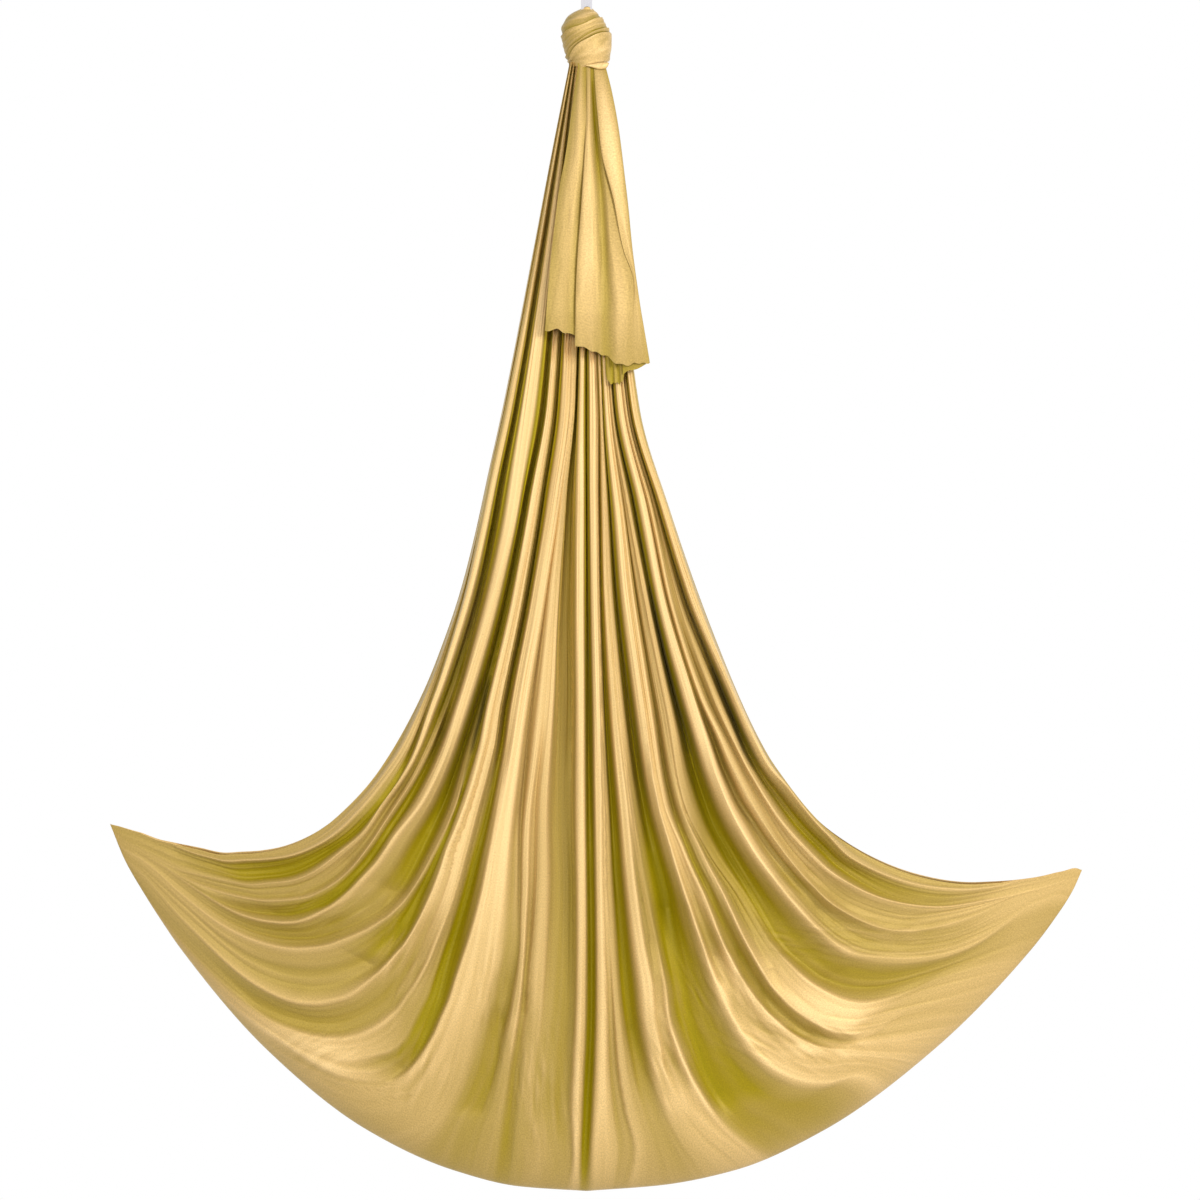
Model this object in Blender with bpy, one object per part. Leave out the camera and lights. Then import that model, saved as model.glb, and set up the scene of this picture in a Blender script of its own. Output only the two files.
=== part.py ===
"""Aerial yoga hammock: a folded cloth with its knot and free ends, hung on a sling, a carabiner and a swivel.

Metres, +Z up. The origin is the middle of the ceiling plate's top face. The cloth spreads along X, its two
leaves lie one behind the other along Y, and -Y is the front, where the free ends hang.
"""
import math

import bmesh
import bpy
from mathutils import Matrix, Vector

# Clearances
SEAT_GAP = 0.0003
RUNNING_GAP = 0.0004

# Ceiling plate
PLATE_RADIUS = 0.045
PLATE_THICKNESS = 0.006
PLATE_EDGE_BEVEL = 0.001
PLATE_HOLE_RADIUS = 0.0035
PLATE_HOLE_CIRCLE_RADIUS = 0.036
PLATE_HOLE_COUNT = 4

# Swivel
HOUSING_HEIGHT = 0.030
HOUSING_WALL = 0.005
HOUSING_LIP = 0.006
HOUSING_ROUNDING = 0.003
CAVITY_RADIUS = 0.017
WASHER_THICKNESS = 0.003
NUT_HEIGHT = 0.009
NUT_CORNER_RADIUS = 0.0115
STEM_RADIUS = 0.006
STEM_ABOVE_NUT = 0.002
COLLAR_RADIUS = 0.010
COLLAR_HEIGHT = 0.005
EYE_INNER_RADIUS = 0.013
EYE_STOCK_RADIUS = 0.005

# Carabiner
WIRE_RADIUS = 0.0055
CARABINER_HALF_WIDTH = 0.026
CARABINER_HEIGHT = 0.101
CARABINER_CORNER_RADIUS = 0.014
NOSE_LENGTH = 0.0055
HINGE_LIFT = 0.0058
HINGE_TAB_THICKNESS = 0.005
HINGE_TAB_RADIUS = 0.0045
GATE_SLOT_DEPTH = 0.0085
PIN_RADIUS = 0.0015
PIN_LENGTH = 0.0100
SPRING_BORE_RADIUS = 0.0027
SPRING_BORE_DEPTH = 0.017
SPRING_WIRE_RADIUS = 0.0003
SPRING_TURNS = 7
SPRING_POINTS_PER_TURN = 9
PLUNGER_RADIUS = 0.0015
PLUNGER_HEAD_HEIGHT = 0.0014
SLEEVE_WALL = 0.0023
SLEEVE_LENGTH = 0.024
SLEEVE_BELOW_NOSE = 0.0025
SLEEVE_STOP_RADIUS = 0.0072
SLEEVE_STOP_HEIGHT = 0.0015

# Sling strap
STRAP_WIDTH = 0.0195
STRAP_THICKNESS = 0.0022
STRAP_SHOWN = 0.130
STRAP_BURIED = 0.048
LAP_LENGTH = 0.056
LAP_BELOW_BAR = 0.012
TACK_COUNT = 3
TACK_HEIGHT = 0.003
TACK_THICKNESS = 0.0008
TACK_INSET = 0.002

# Knot
KNOT_HEIGHT = 0.1042
KNOT_RADIUS = 0.0440
KNOT_FOOT_RADIUS = 0.0330
KNOT_CORE_RADIUS = 0.0240
KNOT_STEPS = 48
WRAP_GAP = 0.0004
CROWN_TOP_RADIUS = 0.0165
CROWN_TOP_DEPTH = 0.005
CROWN_HOLE_RADIUS = 0.0136
CORE_TOP_DEPTH = 0.0165
WRAP_CREASE_DEPTH = 0.0040
MIDDLE_WRAP_HEIGHT = 0.009
TUCK_WIDTH = 0.036
TUCK_HEIGHT = 0.011
TUCK_THICKNESS = 0.005
TUCK_ANGLE = -48

# Cloth leaves
CLOTH_DROP = 1.980
REACH_LEFT = 0.8386
REACH_RIGHT = 0.8721
TIP_RISE_LEFT = 0.646
TIP_RISE_RIGHT = 0.565
LEAF_THICKNESS = 0.0015
NECK_FOLD_DEPTH = 0.020
FOLD_DEPTH = 0.070
POUCH_HALF_GAP = 0.045
TIP_TAPER_LENGTH = 0.45

# Free ends of the cloth
FRONT_TAIL_LENGTH = 0.466
FRONT_TAIL_SLANT = 0.058
FRONT_TAIL_REACH = 0.110
BACK_TAIL_LENGTH = 0.558
BACK_TAIL_REACH = 0.074
TAIL_THICKNESS = 0.0015
TAIL_FOLD_DEPTH_TOP = 0.003
TAIL_FOLD_DEPTH_HEM = 0.012
TAIL_CLEARANCE = 0.0015

# Levels that follow from the sizes above
PLATE_UNDERSIDE = -PLATE_THICKNESS
HOUSING_TOP = PLATE_UNDERSIDE - SEAT_GAP
HOUSING_BOTTOM = HOUSING_TOP - HOUSING_HEIGHT
LIP_TOP = HOUSING_BOTTOM + HOUSING_LIP
WASHER_BOTTOM = LIP_TOP + SEAT_GAP
NUT_BOTTOM = WASHER_BOTTOM + WASHER_THICKNESS + SEAT_GAP
COLLAR_TOP = HOUSING_BOTTOM - SEAT_GAP
EYE_RING_RADIUS = EYE_INNER_RADIUS + EYE_STOCK_RADIUS
EYE_CENTRE_Z = COLLAR_TOP - COLLAR_HEIGHT - EYE_RING_RADIUS
EYE_BAR_Z = EYE_CENTRE_Z - EYE_RING_RADIUS
CARABINER_TOP_Z = EYE_BAR_Z + EYE_STOCK_RADIUS + SEAT_GAP + WIRE_RADIUS
CARABINER_ARC_Z = CARABINER_TOP_Z - CARABINER_HALF_WIDTH
CARABINER_BAR_Z = CARABINER_TOP_Z - CARABINER_HEIGHT
CARABINER_CORNER_Z = CARABINER_BAR_Z + CARABINER_CORNER_RADIUS
NOSE_Z = CARABINER_ARC_Z - NOSE_LENGTH
HINGE_Z = CARABINER_CORNER_Z + HINGE_LIFT
GATE_TOP_Z = NOSE_Z - RUNNING_GAP
SLEEVE_TOP_Z = NOSE_Z - SLEEVE_BELOW_NOSE
STRAP_LINE_RADIUS = WIRE_RADIUS + SEAT_GAP + STRAP_THICKNESS / 2
STRAP_OUTER = STRAP_LINE_RADIUS + STRAP_THICKNESS / 2
KNOT_TOP_Z = CARABINER_BAR_Z - WIRE_RADIUS - STRAP_SHOWN
KNOT_FOOT_Z = KNOT_TOP_Z - KNOT_HEIGHT
STRAP_END_Z = KNOT_TOP_Z - STRAP_BURIED
CLOTH_TOP_Z = KNOT_FOOT_Z - SEAT_GAP

# Shape of the spread cloth. Down runs from 0 at the knot to 1 at the bottom fold.
# Selvedge: how far out the edge lies at each share of the way down, as a share of the reach.
SELVEDGE_LEFT = [
    (0, 0.037), (0.075, 0.072), (0.165, 0.112), (0.308, 0.177), (0.418, 0.232), (0.531, 0.306), (0.570, 0.339),
    (0.657, 0.433), (0.715, 0.517), (0.764, 0.601), (0.804, 0.685), (0.844, 0.769), (0.889, 0.864), (0.934, 0.937),
    (1, 1),
]
SELVEDGE_RIGHT = [
    (0, 0.037), (0.120, 0.062), (0.307, 0.108), (0.397, 0.168), (0.508, 0.253), (0.626, 0.360), (0.709, 0.471),
    (0.774, 0.592), (0.832, 0.713), (0.878, 0.814), (0.929, 0.915), (0.976, 0.984), (1, 1),
]
# Bottom fold: how far it has risen at each share of the way out, as a share of the tip's rise.
BOTTOM_LEFT = [
    (0, 0), (0.14, 0.0125), (0.28, 0.057), (0.46, 0.166), (0.67, 0.384), (0.85, 0.657), (0.933, 0.820), (1, 1),
]
BOTTOM_RIGHT = [
    (0, 0), (0.15, 0.018), (0.30, 0.065), (0.48, 0.190), (0.70, 0.439), (0.897, 0.751), (0.943, 0.844), (1, 1),
]

# Main folds of a leaf, from its left selvedge to its right one. Each has its depth behind the foremost crest,
# as a share of the fold depth, first high up and then low down in the belly, and its place across the leaf at
# each of the levels, from -1 at the left selvedge to 1 at the right.
LEVELS = (0, 0.25, 0.40, 0.55, 0.70, 0.80, 0.88, 0.94, 1)
MAIN_FOLDS = [
    ("left selvedge", 0.75, 0.60, (-1, -1, -1, -1, -1, -1, -1, -1, -1)),
    ("rim crest", 0.15, 0.20, (-0.86, -0.92, -0.955, -0.945, -0.895, -0.897, -0.975, -0.992, -0.996)),
    ("rim valley", 1.00, 0.95, (-0.68, -0.82, -0.85, -0.865, -0.835, -0.862, -0.958, -0.985, -0.9945)),
    ("outer left crest", 0.00, 0.10, (-0.52, -0.68, -0.70, -0.745, -0.765, -0.77, -0.867, -0.955, -0.988)),
    ("outer left valley", 0.95, 0.90, (-0.42, -0.455, -0.595, -0.655, -0.655, -0.70, -0.82, -0.92, -0.985)),
    ("middle left crest", 0.05, 0.00, (-0.30, -0.40, -0.51, -0.575, -0.56, -0.556, -0.598, -0.77, -0.97)),
    ("middle left valley", 0.90, 0.95, (-0.24, -0.335, -0.435, -0.48, -0.455, -0.46, -0.47, -0.60, -0.92)),
    ("inner left crest", 0.00, 0.05, (-0.15, -0.20, -0.29, -0.36, -0.367, -0.373, -0.381, -0.433, -0.65)),
    ("inner left valley", 0.35, 0.45, (-0.11, -0.16, -0.245, -0.29, -0.265, -0.232, -0.243, -0.268, -0.34)),
    ("inner left ridge", 0.10, 0.15, (-0.10, -0.14, -0.215, -0.24, -0.22, -0.20, -0.19, -0.185, -0.19)),
    ("flat valley", 0.80, 0.55, (-0.07, -0.11, -0.15, -0.15, -0.10, -0.08, -0.07, -0.075, -0.08)),
    ("middle ridge", 0.05, 0.10, (-0.04, -0.075, -0.055, -0.045, -0.032, -0.028, -0.03, -0.03, -0.03)),
    ("middle slit", 0.95, 0.95, (0, -0.015, -0.008, -0.003, 0, 0, -0.003, -0.008, -0.01)),
    ("inner right ridge", 0.05, 0.05, (0.05, 0.11, 0.10, 0.065, 0.063, 0.061, 0.069, 0.075, 0.08)),
    ("inner right valley", 0.75, 0.85, (0.09, 0.17, 0.145, 0.128, 0.119, 0.123, 0.138, 0.16, 0.19)),
    ("inner right crest", 0.10, 0.05, (0.12, 0.22, 0.21, 0.20, 0.193, 0.187, 0.195, 0.235, 0.33)),
    ("middle right valley", 1.00, 0.90, (0.18, 0.30, 0.285, 0.27, 0.276, 0.307, 0.314, 0.33, 0.50)),
    ("middle right crest", 0.00, 0.00, (0.27, 0.44, 0.42, 0.39, 0.37, 0.376, 0.41, 0.45, 0.68)),
    ("shallow right valley", 0.60, 0.55, (0.31, 0.51, 0.48, 0.475, 0.467, 0.479, 0.50, 0.58, 0.80)),
    ("shallow right crest", 0.35, 0.15, (0.34, 0.535, 0.525, 0.545, 0.512, 0.51, 0.533, 0.66, 0.87)),
    ("outer right valley", 1.00, 0.90, (0.38, 0.565, 0.583, 0.597, 0.60, 0.636, 0.69, 0.84, 0.93)),
    ("outer right crest", 0.00, 0.00, (0.50, 0.72, 0.705, 0.70, 0.705, 0.721, 0.777, 0.90, 0.965)),
    ("twin valley", 0.45, 0.60, (0.53, 0.745, 0.725, 0.73, 0.748, 0.758, 0.83, 0.93, 0.975)),
    ("twin crest", 0.05, 0.15, (0.56, 0.77, 0.75, 0.80, 0.80, 0.81, 0.88, 0.955, 0.984)),
    ("right rim valley", 0.95, 0.95, (0.65, 0.82, 0.84, 0.925, 0.884, 0.903, 0.935, 0.975, 0.990)),
    ("right rim crest", 0.15, 0.25, (0.88, 0.93, 0.935, 0.972, 0.954, 0.968, 0.975, 0.987, 0.995)),
    ("right selvedge", 0.75, 0.65, (1, 1, 1, 1, 1, 1, 1, 1, 1)),
]
LEAF_ROWS = (0, 0.08, 0.18, 0.28, 0.38, 0.48, 0.57, 0.65, 0.72, 0.78, 0.83, 0.88, 0.925, 0.965, 1)
# How the folds deepen from the neck, and flatten towards the bottom fold, as a share of the fold depth.
FOLD_DEEPENING = [(0, 0), (0.10, 0.45), (0.25, 0.90), (0.40, 1), (1, 1)]
FOLD_FLATTENING = [(0, 1), (0.55, 1), (0.70, 0.85), (0.80, 0.60), (0.88, 0.35), (0.94, 0.16), (1, 0)]
# How far the leaves stand apart on the way down, as a share of the pouch's half gap.
POUCH_OPENING = [(0, 0.01), (0.30, 0.04), (0.50, 0.14), (0.66, 0.45), (0.78, 0.85), (0.87, 1), (0.94, 0.80), (1, 0)]

# Folds of the free ends: depth as a share, then x at the top, at a third, at two thirds and at the hem, as shares of
# the hem's reach.
TAIL_LEVELS = (0, 0.33, 0.66, 1)
FRONT_TAIL_FOLDS = [
    ("left edge", 0.6, (-0.118, -0.345, -0.545, -0.664)),
    ("left crest", 0.0, (-0.073, -0.218, -0.327, -0.382)),
    ("left valley", 0.9, (-0.027, -0.064, -0.109, -0.173)),
    ("middle crest", 0.1, (0.027, 0.045, 0.000, -0.027)),
    ("middle valley", 1.0, (0.082, 0.155, 0.273, 0.364)),
    ("right crest", 0.1, (0.127, 0.309, 0.427, 0.545)),
    ("right valley", 0.7, (0.173, 0.382, 0.545, 0.700)),
    ("outer crest", 0.0, (0.236, 0.491, 0.636, 0.855)),
    ("right edge", 0.5, (0.295, 0.573, 0.736, 1.000)),
]
BACK_TAIL_FOLDS = [
    ("left edge", 0.6, (-0.135, -0.162, 0.000, 0.270)),
    ("left crest", 0.0, (-0.041, 0.000, 0.162, 0.446)),
    ("valley", 1.0, (0.081, 0.189, 0.378, 0.649)),
    ("right crest", 0.1, (0.203, 0.378, 0.581, 0.811)),
    ("right edge", 0.6, (0.324, 0.568, 0.784, 1.000)),
]
TAIL_ROW_COUNT = 9


def clear_scene():
    for old in list(bpy.data.objects):
        bpy.data.objects.remove(old)


def make_material(name, colour, roughness, metallic):
    material = bpy.data.materials.new(name)
    material.use_nodes = True
    shader = material.node_tree.nodes["Principled BSDF"]
    shader.inputs["Base Color"].default_value = (*colour, 1)
    shader.inputs["Roughness"].default_value = roughness
    shader.inputs["Metallic"].default_value = metallic
    return material


def gold_cloth(name):
    return make_material(name + "_nylon", (0.72, 0.52, 0.22), 0.45, 0.0)


def white_webbing(name):
    return make_material(name + "_webbing", (0.86, 0.85, 0.88), 0.8, 0.0)


def plated_steel(name):
    return make_material(name + "_steel", (0.62, 0.63, 0.65), 0.3, 1.0)


def bronze(name):
    return make_material(name + "_bronze", (0.60, 0.40, 0.18), 0.4, 1.0)


def add_object(name, vertices, faces, material):
    mesh = bpy.data.meshes.new(name)
    mesh.from_pydata([tuple(v) for v in vertices], [], faces)
    mesh.update()
    piece = bpy.data.objects.new(name, mesh)
    bpy.context.scene.collection.objects.link(piece)
    if material is not None:
        mesh.materials.append(material)
    return piece


def shade_round(piece, angle=math.radians(35)):
    piece.data.shade_smooth()
    piece.data.set_sharp_from_angle(angle=angle)


def place_origin(piece, pivot):
    """Moves the object's origin to the pivot and leaves its shape where it is."""
    piece.data.transform(Matrix.Translation(-Vector(pivot)))
    piece.location = pivot


def turn_around_z(name, profile, material, hollow, steps=32, centre=(0, 0)):
    """Closed body of revolution. The profile of (radius, z) points runs anticlockwise with z up and radius to
    the right. A hollow body's profile is a closed loop, and a full body's starts and ends on the axis."""
    vertices = []
    rings = []
    for radius, z in profile:
        if radius == 0:
            rings.append([len(vertices)])
            vertices.append((centre[0], centre[1], z))
            continue
        rings.append(list(range(len(vertices), len(vertices) + steps)))
        for step in range(steps):
            angle = 2 * math.pi * step / steps
            vertices.append((centre[0] + radius * math.cos(angle), centre[1] + radius * math.sin(angle), z))
    pairs = list(zip(rings, rings[1:]))
    if hollow:
        pairs.append((rings[-1], rings[0]))
    faces = []
    for low, high in pairs:
        for step in range(steps):
            after = (step + 1) % steps
            if len(low) == 1:
                faces.append((low[0], high[after], high[step]))
            elif len(high) == 1:
                faces.append((low[step], low[after], high[0]))
            else:
                faces.append((low[step], low[after], high[after], high[step]))
    return add_object(name, vertices, faces, material)


def sweep_in_plane(name, path, plane_normal, section, closed, material):
    """Sweeps a section along a flat path. Section points are (outward in the plane, along the plane's normal)."""
    normal = Vector(plane_normal).normalized()
    count = len(path)
    vertices = []
    for index, point in enumerate(path):
        before = path[(index - 1) % count] if closed or index > 0 else point
        after = path[(index + 1) % count] if closed or index < count - 1 else point
        ahead = (Vector(after) - Vector(before)).normalized()
        outward = ahead.cross(normal)
        for out, along in section:
            vertices.append(Vector(point) + outward * out + normal * along)
    width = len(section)
    faces = []
    for index in range(count if closed else count - 1):
        after = (index + 1) % count
        for corner in range(width):
            beside = (corner + 1) % width
            faces.append((index * width + corner, index * width + beside, after * width + beside,
                          after * width + corner))
    if not closed:
        faces.append(tuple(reversed(range(width))))
        faces.append(tuple((count - 1) * width + corner for corner in range(width)))
    piece = add_object(name, vertices, faces, material)
    face_outwards(piece)
    return piece


def face_outwards(piece):
    shape = bmesh.new()
    shape.from_mesh(piece.data)
    bmesh.ops.recalc_face_normals(shape, faces=shape.faces)
    if shape.calc_volume(signed=True) < 0:
        bmesh.ops.reverse_faces(shape, faces=shape.faces)
    shape.to_mesh(piece.data)
    shape.free()


def circle_section(radius, sides):
    return [(radius * math.cos(2 * math.pi * side / sides), radius * math.sin(2 * math.pi * side / sides))
            for side in range(sides)]


def rectangle_section(thickness, width):
    return [(thickness / 2, -width / 2), (thickness / 2, width / 2), (-thickness / 2, width / 2),
            (-thickness / 2, -width / 2)]


def arc_points(centre, radius, start, end, steps):
    """Points of an arc in two coordinates, from one angle to another in degrees."""
    points = []
    for step in range(steps + 1):
        angle = math.radians(start + (end - start) * step / steps)
        points.append((centre[0] + radius * math.cos(angle), centre[1] + radius * math.sin(angle)))
    return points


def extruded_outline(name, outline, low, high, material):
    """Flat plate standing in the XZ plane, between two values of y."""
    count = len(outline)
    vertices = [(x, low, z) for x, z in outline] + [(x, high, z) for x, z in outline]
    faces = [tuple(range(count)), tuple(reversed(range(count, 2 * count)))]
    for corner in range(count):
        beside = (corner + 1) % count
        faces.append((corner, corner + count, beside + count, beside))
    piece = add_object(name, vertices, faces, material)
    face_outwards(piece)
    return piece


def box(name, low, high, material):
    outline = [(low[0], low[2]), (high[0], low[2]), (high[0], high[2]), (low[0], high[2])]
    return extruded_outline(name, outline, low[1], high[1], material)


def bevel_edges(piece, width, segments=2, angle=math.radians(40)):
    bevel = piece.modifiers.new("edge_bevel", "BEVEL")
    bevel.width = width
    bevel.segments = segments
    bevel.limit_method = "ANGLE"
    bevel.angle_limit = angle


def combine(piece, tool, operation):
    """Cuts the tool from the piece, or joins it on. The tool itself isn't part of the model."""
    tool.hide_render = True
    tool.display_type = "WIRE"
    cut = piece.modifiers.new(tool.name, "BOOLEAN")
    cut.operation = operation
    cut.solver = "EXACT"
    cut.object = tool


def cutting_rod(name, x, z, radius, half_length, sides=20):
    """Round rod along Y for a pin hole."""
    outline = [(x + radius * math.cos(2 * math.pi * side / sides), z + radius * math.sin(2 * math.pi * side / sides))
               for side in range(sides)]
    return extruded_outline(name, outline, -half_length, half_length, None)


def smooth_curve(points, at):
    """Height at a place on the smooth curve through (place, height) points, which never overshoots them."""
    places = [point[0] for point in points]
    heights = [point[1] for point in points]
    at = min(max(at, places[0]), places[-1])
    widths = [after - before for before, after in zip(places, places[1:])]
    slopes = [(after - before) / width for before, after, width in zip(heights, heights[1:], widths)]
    tangents = [slopes[0]] + [0.0] * (len(points) - 2) + [slopes[-1]]
    for index in range(1, len(points) - 1):
        before, after = slopes[index - 1], slopes[index]
        if before * after > 0:
            near = 2 * widths[index] + widths[index - 1]
            far = widths[index] + 2 * widths[index - 1]
            tangents[index] = (near + far) / (near / before + far / after)
    index = 0
    while index < len(widths) - 1 and at > places[index + 1]:
        index += 1
    t = (at - places[index]) / widths[index]
    start = (2 * t**3 - 3 * t**2 + 1) * heights[index] + (t**3 - 2 * t**2 + t) * widths[index] * tangents[index]
    end = (3 * t**2 - 2 * t**3) * heights[index + 1] + (t**3 - t**2) * widths[index] * tangents[index + 1]
    return start + end


def ceiling_plate():
    plate = turn_around_z(
        "ceiling_plate", [(0, PLATE_UNDERSIDE), (PLATE_RADIUS, PLATE_UNDERSIDE), (PLATE_RADIUS, 0), (0, 0)],
        plated_steel("ceiling_plate"), hollow=False, steps=48)
    bevel_edges(plate, PLATE_EDGE_BEVEL)
    for hole in range(PLATE_HOLE_COUNT):
        angle = math.radians(45) + 2 * math.pi * hole / PLATE_HOLE_COUNT
        centre = (PLATE_HOLE_CIRCLE_RADIUS * math.cos(angle), PLATE_HOLE_CIRCLE_RADIUS * math.sin(angle))
        profile = [(0, -2 * PLATE_THICKNESS), (PLATE_HOLE_RADIUS, -2 * PLATE_THICKNESS),
                   (PLATE_HOLE_RADIUS, PLATE_THICKNESS), (0, PLATE_THICKNESS)]
        drill = turn_around_z(f"plate_hole_{hole + 1}", profile, None, hollow=False, steps=20, centre=centre)
        combine(plate, drill, "DIFFERENCE")
    shade_round(plate)


def swivel_housing():
    outer = CAVITY_RADIUS + HOUSING_WALL
    bore = STEM_RADIUS + RUNNING_GAP
    rounding = arc_points((outer - HOUSING_ROUNDING, HOUSING_BOTTOM + HOUSING_ROUNDING), HOUSING_ROUNDING, -90, 0, 4)
    profile = [(bore, HOUSING_BOTTOM)] + rounding + [
        (outer, HOUSING_TOP), (CAVITY_RADIUS, HOUSING_TOP), (CAVITY_RADIUS, LIP_TOP), (bore, LIP_TOP)]
    housing = turn_around_z("swivel_housing", profile, plated_steel("swivel_housing"), hollow=True)
    shade_round(housing)


def thrust_washer():
    inner = STEM_RADIUS + RUNNING_GAP
    outer = CAVITY_RADIUS - RUNNING_GAP
    top = WASHER_BOTTOM + WASHER_THICKNESS
    profile = [(inner, WASHER_BOTTOM), (outer, WASHER_BOTTOM), (outer, top), (inner, top)]
    washer = turn_around_z("thrust_washer", profile, bronze("thrust_washer"), hollow=True)
    shade_round(washer)


def stem_nut():
    """Hexagon nut that holds the eye's stem up on the thrust washer."""
    top = NUT_BOTTOM + NUT_HEIGHT
    bore = STEM_RADIUS + SEAT_GAP
    sides = 6
    bore_sides = 24
    nut = turn_around_z("stem_nut", [(0, NUT_BOTTOM), (NUT_CORNER_RADIUS, NUT_BOTTOM), (NUT_CORNER_RADIUS, top), (0, top)],
                        plated_steel("stem_nut"), hollow=False, steps=sides)
    drill_profile = [(0, NUT_BOTTOM - NUT_HEIGHT), (bore, NUT_BOTTOM - NUT_HEIGHT), (bore, top + NUT_HEIGHT),
                     (0, top + NUT_HEIGHT)]
    drill = turn_around_z("nut_bore", drill_profile, None, hollow=False, steps=bore_sides)
    combine(nut, drill, "DIFFERENCE")


def swivel_eye():
    """Forged ring in the YZ plane with its collar and stem."""
    ring_steps = 28
    path = [(0, EYE_RING_RADIUS * math.sin(2 * math.pi * step / ring_steps),
             EYE_CENTRE_Z + EYE_RING_RADIUS * math.cos(2 * math.pi * step / ring_steps)) for step in range(ring_steps)]
    eye = sweep_in_plane("swivel_eye", path, (1, 0, 0), circle_section(EYE_STOCK_RADIUS, 12), True,
                         plated_steel("swivel_eye"))
    collar_bottom = COLLAR_TOP - COLLAR_HEIGHT
    stem_top = NUT_BOTTOM + NUT_HEIGHT + STEM_ABOVE_NUT
    profile = [(0, collar_bottom), (COLLAR_RADIUS, collar_bottom), (COLLAR_RADIUS, COLLAR_TOP),
               (STEM_RADIUS, COLLAR_TOP), (STEM_RADIUS, stem_top), (0, stem_top)]
    stem = turn_around_z("stem_shape", profile, None, hollow=False)
    combine(eye, stem, "UNION")
    shade_round(eye)


def carabiner_path():
    """Centre line of the body's wire, from its nose over the top and round the bar to the gate's hinge."""
    half = CARABINER_HALF_WIDTH
    corner = CARABINER_CORNER_RADIUS
    flat = half - corner
    points = [(half, NOSE_Z)]
    points += arc_points((0, CARABINER_ARC_Z), half, 0, 180, 18)
    points += arc_points((-flat, CARABINER_CORNER_Z), corner, 180, 270, 7)
    points += arc_points((flat, CARABINER_CORNER_Z), corner, 270, 360, 7)
    return [(x, 0, z) for x, z in points]


def carabiner_body():
    body = sweep_in_plane("carabiner_body", carabiner_path(), (0, 1, 0), circle_section(WIRE_RADIUS, 14), False,
                          plated_steel("carabiner_body"))
    x = CARABINER_HALF_WIDTH
    tab = [(x + HINGE_TAB_RADIUS, CARABINER_CORNER_Z - WIRE_RADIUS / 2)]
    tab += arc_points((x, HINGE_Z), HINGE_TAB_RADIUS, 0, 180, 10)
    tab += [(x - HINGE_TAB_RADIUS, CARABINER_CORNER_Z - WIRE_RADIUS / 2)]
    tongue = extruded_outline("hinge_tab", tab, -HINGE_TAB_THICKNESS / 2, HINGE_TAB_THICKNESS / 2, None)
    combine(body, tongue, "UNION")
    hole = cutting_rod("tab_hole", x, HINGE_Z, PIN_RADIUS + SEAT_GAP, WIRE_RADIUS)
    combine(body, hole, "DIFFERENCE")
    place_origin(body, (0, 0, EYE_BAR_Z))
    shade_round(body)


def gate_pin():
    x = CARABINER_HALF_WIDTH
    sides = 16
    outline = [(x + PIN_RADIUS * math.cos(2 * math.pi * side / sides),
                HINGE_Z + PIN_RADIUS * math.sin(2 * math.pi * side / sides)) for side in range(sides)]
    pin = extruded_outline("gate_pin", outline, -PIN_LENGTH / 2, PIN_LENGTH / 2, plated_steel("gate_pin"))
    shade_round(pin)


def carabiner_gate():
    x = CARABINER_HALF_WIDTH
    foot = [(WIRE_RADIUS * math.cos(math.radians(angle)), HINGE_Z + WIRE_RADIUS * math.sin(math.radians(angle)))
            for angle in range(-75, 1, 15)]
    rim_top = SLEEVE_TOP_Z - SLEEVE_LENGTH - SEAT_GAP
    rim_bottom = rim_top - SLEEVE_STOP_HEIGHT
    profile = [(0, HINGE_Z - WIRE_RADIUS)] + foot + [
        (WIRE_RADIUS, rim_bottom), (SLEEVE_STOP_RADIUS, rim_bottom), (SLEEVE_STOP_RADIUS, rim_top),
        (WIRE_RADIUS, rim_top), (WIRE_RADIUS, GATE_TOP_Z), (0, GATE_TOP_Z)]
    gate = turn_around_z("carabiner_gate", profile, plated_steel("carabiner_gate"), hollow=False, steps=24,
                         centre=(x, 0))
    half_slot = HINGE_TAB_THICKNESS / 2 + RUNNING_GAP
    slot_top = HINGE_Z + GATE_SLOT_DEPTH
    slot = box("gate_slot", (x - 2 * WIRE_RADIUS, -half_slot, HINGE_Z - 2 * WIRE_RADIUS),
               (x + 2 * WIRE_RADIUS, half_slot, slot_top), None)
    combine(gate, slot, "DIFFERENCE")
    bore_profile = [(0, slot_top - WIRE_RADIUS / 2), (SPRING_BORE_RADIUS, slot_top - WIRE_RADIUS / 2),
                    (SPRING_BORE_RADIUS, slot_top + SPRING_BORE_DEPTH), (0, slot_top + SPRING_BORE_DEPTH)]
    bore = turn_around_z("spring_bore", bore_profile, None, hollow=False, steps=20, centre=(x, 0))
    combine(gate, bore, "DIFFERENCE")
    combine(gate, cutting_rod("gate_hole", x, HINGE_Z, PIN_RADIUS + SEAT_GAP, 2 * WIRE_RADIUS), "DIFFERENCE")
    place_origin(gate, (x, 0, HINGE_Z))
    shade_round(gate)


def spring_plunger():
    """Small headed pin that the spring presses down on the hinge tab."""
    foot = HINGE_Z + HINGE_TAB_RADIUS + SEAT_GAP
    head_top = plunger_top()
    head_bottom = head_top - PLUNGER_HEAD_HEIGHT
    head_radius = SPRING_BORE_RADIUS - RUNNING_GAP
    profile = [(0, foot), (PLUNGER_RADIUS, foot), (PLUNGER_RADIUS, head_bottom), (head_radius, head_bottom),
               (head_radius, head_top), (0, head_top)]
    plunger = turn_around_z("spring_plunger", profile, plated_steel("spring_plunger"), hollow=False, steps=16,
                            centre=(CARABINER_HALF_WIDTH, 0))
    shade_round(plunger)


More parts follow.
